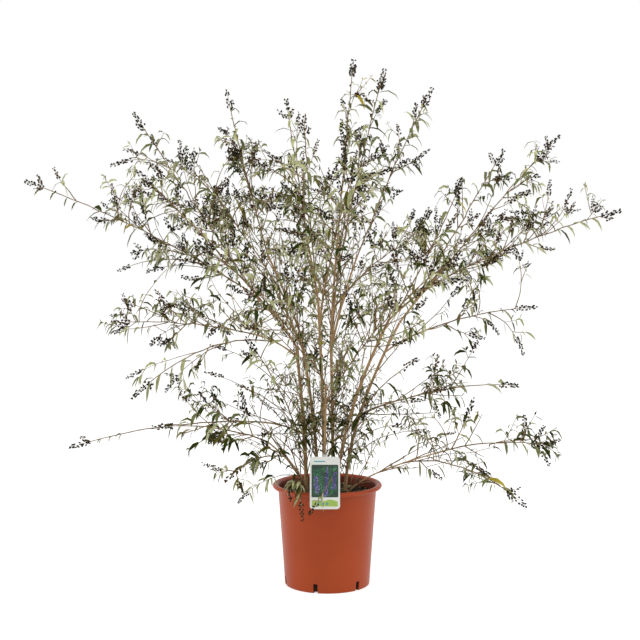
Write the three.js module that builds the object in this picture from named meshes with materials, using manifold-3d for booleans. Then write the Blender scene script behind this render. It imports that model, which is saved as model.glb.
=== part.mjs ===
// A butterfly bush in a round nursery pot, in late winter: narrow grey-green leaves and dry seed heads on
// open, arching twigs. Millimetres, +Z up. The origin is the middle of the pot's underside, -Y is the front.
//
// Nine stems rise from the potting soil. Each forks into boughs, and a mass of foliage grows on from each
// bough: a spine with opposite pairs of side twigs and leaves, placed by a seeded rule and fused into one
// solid. A side twig or leaf that would leave its mass's space, or come near anything else, is skipped.
import * as THREE from "three";
import Module from "manifold-3d";

const wasm = await Module();
wasm.setup();
const { Manifold, Mesh: SolidMesh } = wasm;

// ---------------------------------------------------------------- driving dimensions
const GAP = 0.3; // between neighbouring pieces
const SEED = 20;

const POT = {
  height: 280,
  footRadius: 116, // outside, at the ground
  wallTopRadius: 135, // outside, just under the lip
  lipRadius: 150,
  lipHeight: 13,
  wall: 3,
  floor: 4,
  slots: 6, // drain slots in the bottom edge
  slotWidth: 12,
  slotHeight: 26,
  slotReach: 18, // how far a slot runs in under the pot
  slotTurn: -16, // degrees from the front to the first slot
  sides: 36,
};
const SOIL = { top: 245, rimDrop: 6, levelRadius: 92 };

const LABEL = {
  width: 80,
  height: 138,
  thick: 1,
  cornerRadius: 9,
  lean: 9, // degrees, top towards the stems
  centreX: -7,
  bottomZ: 240,
  strapWidth: 9,
  strapThick: 1.2,
  loopClear: 2.8, // between the strap's loop and the stem in it
};

const STEM = { sides: 6, steps: 6, flare: 1.55, flareShare: 0.05 };
const BOUGH = { sides: 5, steps: 5, thinning: 0.9 };
const SPINE = { steps: 6, footRadius: 2.4, tipRadius: 1.4, thinning: 0.85 };
const TWIG = { steps: 2, footRadius: 1.8, tipRadius: 1.2, neck: 5, splay: 50, rise: 0.2, shortest: 0.5 };
const HEAD = { length: 58, radius: 7, widest: 0.32 }; // seed head at a twig's tip
const LEAF = { length: [66, 96], width: 0.21, widest: 0.42, arch: 0.045, splay: 58, droop: 0.4 };
const SPACING = { twigPairs: 165, leafPairs: 88, clear: 1.2 }; // along a spine, in mm

// Stems, from the soil. foot is [x, y] on the soil, tip is [x, y, z].
const STEMS = {
  stem_left: { foot: [-58, 18], tip: [-85, 30, 655], radius: [6, 4.6] },
  stem_back_left: { foot: [-26, 44], tip: [-75, 150, 675], radius: [5, 3.9] },
  stem_centre: { foot: [-8, -4], tip: [-25, -20, 780], radius: [5.7, 4.1] },
  stem_right: { foot: [26, -24], tip: [165, -60, 735], radius: [5.1, 3.8] },
  stem_outer_right: { foot: [50, 14], tip: [200, 70, 715], radius: [5, 3.8] },
  stem_upright: { foot: [16, 30], tip: [10, 70, 680], radius: [5.5, 4.2] },
  stem_low_right: { foot: [54, -44], tip: [285, -150, 388], radius: [3.9, 2.8] },
  stem_low_left: { foot: [-54, -40], tip: [-160, -150, 420], radius: [3.9, 3] },
  stem_front: { foot: [-8, -58], tip: [-5, -190, 575], radius: [4.4, 3.5] },
};

// Boughs. at is the share of the way along the limb that they leave.
const BOUGHS = {
  bough_left_high: { from: "stem_left", at: 1, tip: [-205, 15, 800], radius: [4.1, 3] },
  bough_left_low: { from: "stem_left", at: 0.93, tip: [-190, -30, 690], radius: [3.3, 2.6] },
  bough_lower_left: { from: "stem_left", at: 0.45, tip: [-220, -35, 455], radius: [3.3, 2.6] },
  bough_top_left: { from: "stem_back_left", at: 1, tip: [-165, 110, 900], radius: [3.5, 2.8] },
  bough_back_left: { from: "stem_back_left", at: 0.9, tip: [-150, 260, 795], radius: [3.2, 2.6] },
  bough_top_centre: { from: "stem_centre", at: 1, tip: [-55, -45, 950], radius: [3.6, 2.8] },
  bough_front_high: { from: "stem_centre", at: 0.88, tip: [0, -160, 865], radius: [3.3, 2.6] },
  bough_right_high: { from: "stem_right", at: 1, tip: [290, -75, 835], radius: [3.5, 2.8] },
  bough_right_top: { from: "stem_outer_right", at: 1, tip: [340, 80, 885], radius: [3.5, 2.8] },
  bough_right_mid: { from: "stem_outer_right", at: 0.85, tip: [290, 110, 695], radius: [3.1, 2.6] },
  bough_right_low: { from: "stem_outer_right", at: 0.5, tip: [215, 0, 512], radius: [3.1, 2.6] },
  bough_top: { from: "stem_upright", at: 1, tip: [30, 50, 960], radius: [3.8, 3] },
  bough_top_right: { from: "stem_upright", at: 0.92, tip: [85, 110, 900], radius: [3.3, 2.6] },
  bough_back: { from: "stem_upright", at: 0.84, tip: [25, 230, 795], radius: [3.3, 2.6] },
};

// Masses of foliage. reach is the spine's tip, spread the longest side twig, bow lifts the spine, and
// leafy is the share of the spine that has side twigs and leaves.
const MASSES = {
  foliage_far_left: { from: "bough_left_high", at: 1, reach: [-820, 0, 1105], spread: 150 },
  foliage_upper_left: { from: "bough_left_high", at: 0.8, reach: [-530, 80, 1290], spread: 190 },
  foliage_mid_left: { from: "bough_left_high", at: 0.5, reach: [-500, -120, 1130], spread: 150 },
  foliage_left: { from: "bough_left_low", at: 1, reach: [-600, 60, 715], spread: 170 },
  foliage_low_left: { from: "bough_left_low", at: 0.6, reach: [-520, -120, 530], spread: 150, bow: 70 },
  foliage_lower_left: { from: "bough_lower_left", at: 1, reach: [-695, -60, 388], spread: 140, bow: 30, leafy: 0.5 },
  foliage_front_low_left: { from: "stem_low_left", at: 1, reach: [-450, -230, 470], spread: 140 },
  foliage_foot_left: { from: "stem_low_left", at: 0.75, reach: [-265, -270, 335], spread: 95, bow: 25 },
  foliage_top_left: { from: "bough_top_left", at: 1, reach: [-275, 60, 1350], spread: 160 },
  foliage_inner_left: { from: "bough_top_left", at: 0.3, reach: [-420, 200, 1180], spread: 170 },
  foliage_back_left: { from: "bough_back_left", at: 1, reach: [-430, 520, 1050], spread: 190 },
  foliage_back_low_left: { from: "bough_back_left", at: 0.5, reach: [-360, 430, 640], spread: 180, bow: 60 },
  foliage_top_centre: { from: "bough_top_centre", at: 1, reach: [-110, -60, 1320], spread: 150 },
  foliage_front_top: { from: "bough_top_centre", at: 0.2, reach: [-60, -270, 1265], spread: 170 },
  foliage_front: { from: "bough_front_high", at: 1, reach: [60, -480, 1130], spread: 170 },
  foliage_front_left: { from: "stem_front", at: 1, reach: [-310, -540, 960], spread: 180 },
  foliage_front_right: { from: "stem_front", at: 0.85, reach: [310, -540, 930], spread: 180 },
  foliage_top: { from: "bough_top", at: 1, reach: [70, 0, 1435], spread: 150 },
  foliage_top_inner: { from: "bough_top", at: 0.25, reach: [150, -60, 1395], spread: 140 },
  foliage_top_right: { from: "bough_top_right", at: 1, reach: [290, 130, 1360], spread: 150 },
  foliage_back_top: { from: "bough_back", at: 1, reach: [90, 480, 1200], spread: 190 },
  foliage_back_right: { from: "bough_back", at: 0.75, reach: [330, 520, 960], spread: 190 },
  foliage_back: { from: "bough_back", at: 0.5, reach: [-40, 560, 760], spread: 180, bow: 50 },
  foliage_right_top: { from: "bough_right_top", at: 1, reach: [640, 100, 1230], spread: 160 },
  foliage_inner_right: { from: "bough_right_top", at: 0.25, reach: [500, 200, 1195], spread: 160 },
  foliage_far_right: { from: "bough_right_high", at: 1, reach: [780, -60, 1025], spread: 160 },
  foliage_front_mid_right: { from: "bough_right_high", at: 0.2, reach: [340, -260, 1110], spread: 160 },
  foliage_right: { from: "bough_right_mid", at: 1, reach: [585, 110, 755], spread: 160 },
  foliage_low_right: { from: "bough_right_low", at: 1, reach: [530, 60, 540], spread: 140, bow: 30 },
  foliage_lower_right: { from: "stem_low_right", at: 1, reach: [600, -110, 400], spread: 140, bow: 30 },
  foliage_foot_right: { from: "stem_low_right", at: 0.8, reach: [515, -230, 262], spread: 110, bow: 60 },
  foliage_inner_low_left: { from: "stem_left", at: 0.32, reach: [-215, -120, 690], spread: 120 },
  foliage_inner_low_right: { from: "stem_right", at: 0.4, reach: [235, -170, 640], spread: 120 },
  foliage_inner_back: { from: "stem_upright", at: 0.4, reach: [70, 230, 760], spread: 120 },
};

const COLOUR = {
  pot: "#a8512f",
  soil: "#2b2119",
  label: "#e9ebe2",
  bark: "#8d7357",
  foliage: "#7c8263",
};

// ---------------------------------------------------------------- small tools
const UP = new THREE.Vector3(0, 0, 1);
const EAST = new THREE.Vector3(1, 0, 0);
const vec = (p) => new THREE.Vector3(...p);
const lerp = THREE.MathUtils.lerp;
const radians = THREE.MathUtils.degToRad;

// The same numbers in the same order on every run (mulberry32).
function seededRandom(seed) {
  let state = seed | 0;
  return () => {
    state = (state + 0x6d2b79f5) | 0;
    let t = Math.imul(state ^ (state >>> 15), 1 | state);
    t = (t + Math.imul(t ^ (t >>> 7), 61 | t)) ^ t;
    return ((t ^ (t >>> 14)) >>> 0) / 4294967296;
  };
}

// Two directions square to a curve at t. The first is square to the plane that the whole curve lies in,
// so rings set by them never twist.
function squareTo(curve, t) {
  const axis = curve.getTangent(t);
  const across = new THREE.Vector3().crossVectors(
    curve.v1.clone().sub(curve.v0),
    curve.v2.clone().sub(curve.v0),
  );
  if (across.length() < 1) across.crossVectors(Math.abs(axis.z) < 0.85 ? UP : EAST, axis);
  across.normalize();
  return [across, new THREE.Vector3().crossVectors(axis, across), axis];
}

function solidFrom(points, triangles) {
  const vertProperties = new Float32Array(points.flatMap((p) => [p.x, p.y, p.z]));
  return new Manifold(new SolidMesh({ numProp: 3, vertProperties, triVerts: new Uint32Array(triangles) }));
}

// A closed three.js geometry as a solid.
function solidOf(geometry) {
  const position = (geometry.index ? geometry.toNonIndexed() : geometry).getAttribute("position");
  const index = new Map();
  const points = [];
  const triangles = [];
  for (let i = 0; i < position.count; i += 3) {
    const corners = [0, 1, 2].map((k) => {
      const p = new THREE.Vector3().fromBufferAttribute(position, i + k);
      const key = [p.x, p.y, p.z].map((c) => Math.round(c * 1e4)).join();
      if (!index.has(key)) index.set(key, points.push(p) - 1);
      return index.get(key);
    });
    if (new Set(corners).size === 3) triangles.push(...corners);
  }
  return solidFrom(points, triangles);
}

function geometryOf(solid) {
  const mesh = solid.getMesh();
  const geometry = new THREE.BufferGeometry();
  geometry.setAttribute("position", new THREE.BufferAttribute(new Float32Array(mesh.vertProperties), 3));
  geometry.setIndex(new THREE.BufferAttribute(new Uint32Array(mesh.triVerts), 1));
  return geometry;
}

// A tapering tube along a curve. stations are [share of the way, radius]; an end of radius 0 is a point.
// grow makes a slightly larger copy, for cutting a neighbour clear.
function tube(curve, stations, sides, grow = 0) {
  const points = [];
  const end = stations.length - 1;
  const rings = stations.map(([t, radius], i) => {
    const [u, v, axis] = squareTo(curve, t);
    const centre = curve.getPoint(t);
    if (i === 0) centre.addScaledVector(axis, -grow);
    if (i === end) centre.addScaledVector(axis, grow);
    if (radius === 0) return Array(sides).fill(points.push(centre) - 1);
    return Array.from({ length: sides }, (_, side) => {
      const turn = (2 * Math.PI * side) / sides;
      const across = u.clone().multiplyScalar(Math.cos(turn)).addScaledVector(v, Math.sin(turn));
      return points.push(centre.clone().addScaledVector(across, radius + grow)) - 1;
    });
  });
  const triangles = [];
  for (let i = 1; i <= end; i++) {
    const [low, high] = [rings[i - 1], rings[i]];
    for (let a = 0; a < sides; a++) {
      const b = (a + 1) % sides;
      if (low[a] !== low[b]) triangles.push(low[a], low[b], high[b]);
      if (high[a] !== high[b]) triangles.push(low[a], high[b], high[a]);
    }
  }
  for (let i = 1; i < sides - 1; i++) {
    if (rings[0][0] !== rings[0][1]) triangles.push(rings[0][0], rings[0][i + 1], rings[0][i]);
    if (rings[end][0] !== rings[end][1]) triangles.push(rings[end][0], rings[end][i], rings[end][i + 1]);
  }
  return solidFrom(points, triangles);
}

// ---------------------------------------------------------------- what is already standing
// Every piece leaves a chain of balls-on-a-line behind, so that later ones can keep clear of it.
const standing = [];

function record(node, curve, stations) {
  for (let i = 1; i < stations.length; i++) {
    const [[t0, r0], [t1, r1]] = [stations[i - 1], stations[i]];
    standing.push({ node, a: curve.getPoint(t0), b: curve.getPoint(t1), radius: Math.max(r0, r1) });
  }
}

function distanceBetween(a, b, c, d) {
  const [u, v, w] = [b.clone().sub(a), d.clone().sub(c), a.clone().sub(c)];
  const [uu, uv, vv, uw, vw] = [u.dot(u), u.dot(v), v.dot(v), u.dot(w), v.dot(w)];
  const clamp = (x) => Math.min(1, Math.max(0, x));
  const square = uu * vv - uv * uv;
  let s = square > 1e-9 ? clamp((uv * vw - vv * uw) / square) : 0;
  const t = clamp((uv * s + vw) / Math.max(vv, 1e-9));
  s = clamp((uv * t - uw) / Math.max(uu, 1e-9));
  return w.addScaledVector(u, s).addScaledVector(v, -t).length();
}

// Clear of every other node, of the pot and of the label.
function isClear(node, a, b, radius) {
  const keep = radius + SPACING.clear;
  for (const p of [a, b, a.clone().lerp(b, 0.5)]) {
    if (p.z < POT.height + keep && Math.hypot(p.x, p.y) < POT.lipRadius + keep) return false;
    if (p.z < keep) return false;
    const label = Math.abs(p.x - LABEL.centreX) < LABEL.width / 2 + keep;
    if (label && p.z < LABEL.bottomZ + LABEL.height + 40 && p.y < -50 && p.y > -190) return false;
  }
  return standing.every((s) => s.node === node || distanceBetween(a, b, s.a, s.b) > s.radius + keep);
}

// ---------------------------------------------------------------- pot, soil and label
const lathe = (outline, sides) =>
  new THREE.LatheGeometry(
    outline.map(([r, z]) => new THREE.Vector2(r, z)),
    sides,
  ).rotateX(Math.PI / 2);

const wallOutside = (z) => lerp(POT.footRadius, POT.wallTopRadius, z / (POT.height - POT.lipHeight));

function potSolid() {
  const { height, lipRadius, lipHeight, wall, floor } = POT;
  const underLip = height - lipHeight;
  const inner = (z) => wallOutside(z) - wall;
  const profile = [
    [0, 0],
    [POT.footRadius - 2, 0],
    [POT.footRadius, 3],
    [wallOutside(underLip), underLip],
    [lipRadius - 4, underLip + 1],
    [lipRadius, underLip + 5],
    [lipRadius - 1.5, height - 3],
    [lipRadius - 6, height],
    [inner(height) + 2, height - 1],
    [inner(height - 7), height - 7],
    [inner(floor), floor],
    [0, floor],
    [0, 0],
  ];
  const slots = Array.from({ length: POT.slots }, (_, i) => {
    const slot = new THREE.BoxGeometry(POT.slotWidth, 2 * POT.slotReach, 2 * POT.slotHeight);
    const middle = POT.footRadius;
    slot.translate(0, -middle, 0).rotateZ(radians(POT.slotTurn + (360 * i) / POT.slots));
    return solidOf(slot);
  });
  return solidOf(lathe(profile, POT.sides)).subtract(Manifold.union(slots));
}

function soilSolid() {
  const base = POT.floor + GAP;
  const edge = SOIL.top - SOIL.rimDrop;
  const inside = (z) => wallOutside(z) - POT.wall - 3 * GAP;
  const profile = [
    [0, base],
    [inside(base), base],
    [inside(edge), edge],
    [SOIL.levelRadius, SOIL.top],
    [0, SOIL.top],
    [0, base],
  ];
  return solidOf(lathe(profile, POT.sides));
}

// The card leans on the pot's lip, and its strap loops round the front stem.
function labelSolid(stemCurve, stemRadius) {
  const { width, height, thick, cornerRadius: r } = LABEL;
  const card = new THREE.Shape();
  card.moveTo(-width / 2 + r, 0).lineTo(width / 2 - r, 0);
  card.absarc(width / 2 - r, r, r, -Math.PI / 2, 0).lineTo(width / 2, height - r);
  card.absarc(width / 2 - r, height - r, r, 0, Math.PI / 2).lineTo(-width / 2 + r, height);
  card.absarc(-width / 2 + r, height - r, r, Math.PI / 2, Math.PI).lineTo(-width / 2, r);
  card.absarc(-width / 2 + r, r, r, Math.PI, 1.5 * Math.PI);
  const lean = radians(LABEL.lean);
  const restHeight = POT.height - LABEL.bottomZ;
  const back = -POT.lipRadius - GAP - restHeight * Math.tan(lean) - 0.6;
  const plate = new THREE.ExtrudeGeometry(card, { depth: thick, bevelEnabled: false, curveSegments: 3 });
  plate.rotateX(Math.PI / 2 - lean).translate(LABEL.centreX, back, LABEL.bottomZ);

  const topZ = LABEL.bottomZ + height * Math.cos(lean) - 5;
  const cardY = back + (topZ - LABEL.bottomZ) * Math.tan(lean);
  const stemAt = pointAtHeight(stemCurve, topZ);
  const outer = stemRadius + LABEL.loopClear + LABEL.strapThick;
  const loop = new THREE.Shape().absarc(stemAt.x, stemAt.y, outer, 0, 2 * Math.PI);
  loop.holes.push(new THREE.Path().absarc(stemAt.x, stemAt.y, stemRadius + LABEL.loopClear, 0, 2 * Math.PI));
  const flat = { depth: LABEL.strapWidth / 3, bevelEnabled: false, curveSegments: 5 };
  const ring = new THREE.ExtrudeGeometry(loop, flat).translate(0, 0, topZ);
  const strapLength = stemAt.y - outer + LABEL.strapThick * 0.6 - (cardY - thick * 0.7);
  const strap = new THREE.BoxGeometry(LABEL.strapWidth, strapLength, flat.depth);
  strap.translate(stemAt.x, cardY - thick * 0.7 + strapLength / 2, topZ + flat.depth / 2);
  return Manifold.union([plate, ring, strap].map(solidOf));
}

function pointAtHeight(curve, z) {
  let [low, high] = [0, 1];
  for (let i = 0; i < 30; i++) {
    const middle = (low + high) / 2;
    if (curve.getPoint(middle).z < z) low = middle;
    else high = middle;
  }
  return curve.getPoint(low);
}

// ---------------------------------------------------------------- stems and boughs
const limbs = new Map(); // name: { curve, stations, sides }

const evenStations = (steps, [foot, tip]) =>
  Array.from({ length: steps + 1 }, (_, i) => [i / steps, lerp(foot, tip, i / steps)]);

// A stem leaves the soil upright and leans over further up.
function growStem(name, { foot, tip, radius }) {
  const base = vec([...foot, SOIL.top + GAP]);
  const end = vec(tip);
  const shoulder = base.clone().setZ(lerp(base.z, end.z, 0.4));
  const curve = new THREE.QuadraticBezierCurve3(base, shoulder, end);
  const [foot0, tip0] = radius;
  const above = evenStations(STEM.steps, radius).slice(1);
  const stations = [[0, foot0 * STEM.flare], [STEM.flareShare, foot0 * 1.08], ...above];
  limbs.set(name, { curve, stations, sides: STEM.sides, radius: (t) => lerp(foot0, tip0, t) });
  record(name, curve, stations);
}

// A curve that leaves its parent along the parent's own line and bends towards its tip.
function leaving(parent, at, tip, bow = 0) {
  const start = parent.curve.getPoint(at);
  const along = parent.curve.getTangent(at);
  if (at === 1) start.addScaledVector(along, -parent.radius(1) * 0.5);
  const reach = vec(tip).sub(start);
  const bend = start.clone().addScaledVector(reach, 0.36).addScaledVector(along, reach.length() * 0.14);
  return new THREE.QuadraticBezierCurve3(start, bend.addScaledVector(UP, bow), vec(tip));
}

function growBough(name, { from, at, tip, radius, bow }) {
  const parent = limbs.get(from);
  const curve = leaving(parent, at, tip, bow);
  const foot = Math.min(radius[0], parent.radius(at) * BOUGH.thinning);
  const stations = evenStations(BOUGH.steps, [foot, radius[1]]);
  limbs.set(name, { curve, stations, sides: BOUGH.sides, parent, radius: (t) => lerp(foot, radius[1], t) });
  record(name, curve, stations);
}

const cutClear = (solid, limb) => solid.subtract(tube(limb.curve, limb.stations, limb.sides, GAP));

function limbSolid({ curve, stations, sides, parent }) {
  const solid = tube(curve, stations, sides);
  return parent ? largest(cutClear(solid, parent)) : solid;
}

const largest = (solid) => solid.decompose().sort((a, b) => b.volume() - a.volume())[0];

// ---------------------------------------------------------------- masses of foliage
// Radii along a twig that ends in a pointed seed head.
function headed(length, steps, [foot, tip]) {
  const bare = 1 - Math.min(0.6, HEAD.length / length);
  const stalk = evenStations(steps, [foot, tip]).map(([t, r]) => [t * bare, r]);
  return [...stalk, [lerp(bare, 1, HEAD.widest), HEAD.radius], [1, 0]];
}

function twigAt(spine, t, turn, length) {
  const start = spine.getPoint(t);
  const [u, v, along] = squareTo(spine, t);
  const out = u.multiplyScalar(Math.cos(turn)).addScaledVector(v, Math.sin(turn));
  const splay = radians(TWIG.splay);
  const way = along.multiplyScalar(Math.cos(splay)).addScaledVector(out, Math.sin(splay));
  const bend = start.clone().addScaledVector(way, length * 0.5);
  const tip = start.clone().addScaledVector(way, length * 0.94).addScaledVector(UP, length * TWIG.rise);
  return new THREE.QuadraticBezierCurve3(start, bend, tip);
}

// A leaf: its stalk end is sunk in the twig, its blade arches and hangs.
function leafAt(twig, t, turn, length) {
  const base = twig.getPoint(t);
  const [u, v, along] = squareTo(twig, t);
  const out = u.multiplyScalar(Math.cos(turn)).addScaledVector(v, Math.sin(turn));
  const splay = radians(LEAF.splay);
  const way = along.multiplyScalar(Math.cos(splay)).addScaledVector(out, Math.sin(splay));
  const tip = base.clone().addScaledVector(way, length).addScaledVector(UP, -length * LEAF.droop);
  const blade = tip.clone().sub(base).normalize();
  const side = new THREE.Vector3().crossVectors(blade, Math.abs(blade.z) < 0.95 ? UP : along).normalize();
  const face = new THREE.Vector3().crossVectors(side, blade);
  const middle = base.clone().lerp(tip, LEAF.widest).addScaledVector(face, length * LEAF.arch);
  const half = (length * LEAF.width) / 2;
  return { base, tip, middle, side, half };
}

// A leaf of four faces: arched across its widest line above, folded to a keel below.
function leafSolid({ base, tip, middle, side, half }) {
  const [left, right] = [-half, half].map((d) => middle.clone().addScaledVector(side, d));
  return solidFrom([base, tip, left, right], [0, 3, 2, 1, 2, 3, 0, 2, 1, 0, 1, 3]);
}

// Nearer to its own spine than to any other, and within the mass's reach.
function inOwnSpace(name, point) {
  const own = spines.get(name);
  const away = own.distance(point);
  if (away > own.spread * 1.25) return false;
  return [...spines].every(([other, s]) => other === name || s.distance(point) > away);
}

const spines = new Map(); // name: { curve, spread, distance, ... }

function raiseSpine(name, { from, at, reach, spread, bow = 20, leafy = 1 }) {
  const parent = limbs.get(from);
  const curve = leaving(parent, at, reach, bow);
  const length = curve.getLength();
  const foot = Math.min(SPINE.footRadius, parent.radius(at) * SPINE.thinning);
  const stations = headed(length, SPINE.steps, [foot, SPINE.tipRadius]);
  const knots = curve.getPoints(8);
  const distance = (point) => Math.min(...knots.map((k) => k.distanceTo(point)));
  spines.set(name, { curve, stations, parent, length, spread, leafy, distance });
  record(name, curve, stations);
}

function growMass(name, random) {
  const { curve, stations, parent, length, spread, leafy } = spines.get(name);
  const twigs = [{ curve, length, bare: stations.at(-3)[0] * leafy }];
  const pieces = [tube(curve, stations, 3)];
  const firstTurn = random() * Math.PI;
  const pairs = Math.max(2, Math.round((length * leafy) / SPACING.twigPairs));
  for (let pair = 0; pair < pairs; pair++) {
    const t = leafy * lerp(0.14, 0.82, pair / (pairs - 1));
    for (const opposite of [0, Math.PI]) {
      const turn = firstTurn + (pair * Math.PI) / 2 + opposite + (random() - 0.5) * 0.7;
      const fullness = lerp(1, TWIG.shortest, t) * lerp(0.75, 1.1, random());
      const twigLength = Math.max(HEAD.length * 1.6, spread * fullness);
      const twig = twigAt(curve, t, turn, twigLength);
      const radii = headed(twigLength, TWIG.steps, [TWIG.footRadius, TWIG.tipRadius]);
      radii.splice(0, 1, [0, 0], [TWIG.neck / twigLength, TWIG.footRadius]);
      if (!fits(name, twig, radii)) continue;
      record(name, twig, radii);
      pieces.push(tube(twig, radii, 3));
      twigs.push({ curve: twig, length: twigLength, bare: radii.at(-3)[0] });
    }
  }
  for (const twig of twigs) pieces.push(...leavesOn(name, twig, random));
  return largest(cutClear(Manifold.union(pieces), parent));
}

function fits(name, twig, radii) {
  if (!inOwnSpace(name, twig.getPoint(1)) || !inOwnSpace(name, twig.getPoint(0.6))) return false;
  return radii.slice(1).every(([t, r], i) => {
    const before = radii[i];
    const from = i === 0 ? t * 0.3 : before[0];
    return isClear(name, twig.getPoint(from), twig.getPoint(t), Math.max(r, before[1]));
  });
}

function leavesOn(name, { curve, length, bare }, random) {
  const made = [];
  const pairs = Math.max(1, Math.round((length * bare) / SPACING.leafPairs));
  const firstTurn = random() * Math.PI;
  for (let pair = 0; pair < pairs; pair++) {
    const t = bare * lerp(0.3, 0.94, (pair + 0.7) / pairs);
    for (const opposite of [0, Math.PI]) {
      const turn = firstTurn + (pair * Math.PI) / 2 + opposite;
      const leaf = leafAt(curve, t, turn, lerp(...LEAF.length, random()));
      const outer = leaf.base.clone().lerp(leaf.middle, 0.5);
      const clear =
        inOwnSpace(name, leaf.tip) &&
        isClear(name, outer, leaf.middle, leaf.half) &&
        isClear(name, leaf.middle, leaf.tip, leaf.half);
      if (!clear) continue;
      standing.push({ node: name, a: leaf.base, b: leaf.middle, radius: leaf.half });
      standing.push({ node: name, a: leaf.middle, b: leaf.tip, radius: leaf.half });
      made.push(leafSolid(leaf));
    }
  }
  return made;
}

// ---------------------------------------------------------------- the whole plant
const bush = new THREE.Group();

function add(name, solid, colour, roughness) {
  const material = new THREE.MeshStandardMaterial({ color: colour, roughness, metalness: 0 });
  const mesh = new THREE.Mesh(geometryOf(solid), material);
  mesh.name = name;
  bush.add(mesh);
}

for (const [name, sizes] of Object.entries(STEMS)) growStem(name, sizes);
for (const [name, sizes] of Object.entries(BOUGHS)) growBough(name, sizes);
for (const [name, sizes] of Object.entries(MASSES)) raiseSpine(name, sizes);

const front = limbs.get("stem_front");
add("pot", potSolid(), COLOUR.pot, 0.45);
add("soil", soilSolid(), COLOUR.soil, 1);
add("label", labelSolid(front.curve, front.radius(0.3)), COLOUR.label, 0.5);
for (const [name, limb] of limbs) add(name, limbSolid(limb), COLOUR.bark, 0.85);
Object.keys(MASSES).forEach((name, i) => {
  add(name, growMass(name, seededRandom(SEED + i)), COLOUR.foliage, 0.8);
});

export default bush;
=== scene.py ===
"""The looks of the potted butterfly bush: bark, fine twigs, leaves, seed heads, pot, soil and label."""

import math

import bmesh
import bpy
import numpy as np
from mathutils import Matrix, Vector


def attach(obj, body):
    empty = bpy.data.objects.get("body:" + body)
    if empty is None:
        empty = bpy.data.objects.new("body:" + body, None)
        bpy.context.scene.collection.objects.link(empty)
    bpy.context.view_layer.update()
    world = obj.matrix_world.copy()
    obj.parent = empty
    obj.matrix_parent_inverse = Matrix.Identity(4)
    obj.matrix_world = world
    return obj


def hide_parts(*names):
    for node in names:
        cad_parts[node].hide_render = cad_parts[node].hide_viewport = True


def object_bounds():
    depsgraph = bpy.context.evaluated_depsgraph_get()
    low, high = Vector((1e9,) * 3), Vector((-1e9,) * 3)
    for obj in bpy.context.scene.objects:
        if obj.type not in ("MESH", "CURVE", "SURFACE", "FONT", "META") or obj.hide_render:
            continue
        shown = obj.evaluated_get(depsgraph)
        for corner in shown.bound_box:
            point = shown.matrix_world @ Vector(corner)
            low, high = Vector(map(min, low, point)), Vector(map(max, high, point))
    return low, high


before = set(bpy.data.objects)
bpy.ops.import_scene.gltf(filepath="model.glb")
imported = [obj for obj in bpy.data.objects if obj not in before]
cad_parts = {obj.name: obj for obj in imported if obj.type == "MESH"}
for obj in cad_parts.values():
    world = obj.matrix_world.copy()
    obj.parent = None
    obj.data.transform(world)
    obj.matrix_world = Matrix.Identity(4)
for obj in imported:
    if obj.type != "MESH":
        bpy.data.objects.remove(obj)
CAD_BOX = [np.array(corner) * 1000 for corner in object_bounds()]

# ---- sizes in millimetres, as in the part
GAP = 0.3
SEED = 20
POT = {"height": 280, "foot": 116, "wall_top": 135, "lip": 150, "lip_height": 13, "wall": 3, "floor": 4,
       "slots": 6, "slot_width": 12, "slot_height": 26, "slot_reach": 18, "slot_turn": -16}
SOIL = {"top": 245, "dressed": 256, "rim_drop": 2, "level": 92, "sides": 200, "bits": 850}
LABEL = {"width": 80, "height": 138, "thick": 1, "corner": 9, "lean": 9, "x": -7, "bottom": 240,
         "strap": 9, "strap_thick": 1.2, "loop_clear": 2.8}
STEM = {"steps": 6, "flare": 1.55, "flare_share": 0.05}
BOUGH = {"steps": 5, "thinning": 0.9}
SPINE = {"steps": 6, "foot": 2.4, "tip": 1.4, "thinning": 0.85}
TWIG = {"steps": 2, "foot": 1.8, "tip": 1.2, "neck": 5, "splay": 50, "rise": 0.2, "shortest": 0.5}
HEAD = {"length": 58, "radius": 7, "widest": 0.32}
LEAF = {"length": (66, 96), "width": 0.21, "widest": 0.42, "arch": 0.045, "splay": 58, "droop": 0.4}
SPACING = {"twigs": 165, "leaves": 88, "clear": 1.2}


def table(text):
    """Rows of a name and what belongs to it: numbers, or the name of a parent."""
    rows = [line.split() for line in text.strip().splitlines()]
    return {name: [x if x[0].isalpha() else float(x) for x in rest] for name, *rest in rows}


def numbers(text, width):
    return np.array(text.split(), float).reshape(-1, width)


# name, foot x, y, tip x, y, z, radius at foot and tip, then how it is dressed: how thick beside the part,
# and the share of its nodes that bear side twigs
STEMS = table("""
stem_left -58 18 -85 30 655 6 4.6 0.88 0.55
stem_back_left -26 44 -75 150 675 5 3.9 0.88 0.42
stem_centre -8 -4 -25 -20 780 5.7 4.1 0.88 0.42
stem_right 26 -24 165 -60 735 5.1 3.8 0.88 0.38
stem_outer_right 50 14 200 70 715 5 3.8 0.88 0.36
stem_upright 16 30 10 70 680 5.5 4.2 0.88 0.34
stem_low_right 54 -44 285 -150 388 3.9 2.8 0.52 0.55
stem_low_left -54 -40 -160 -150 420 3.9 3 0.6 0.8
stem_front -8 -58 -5 -190 575 4.4 3.5 0.88 0.42
""")
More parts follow.
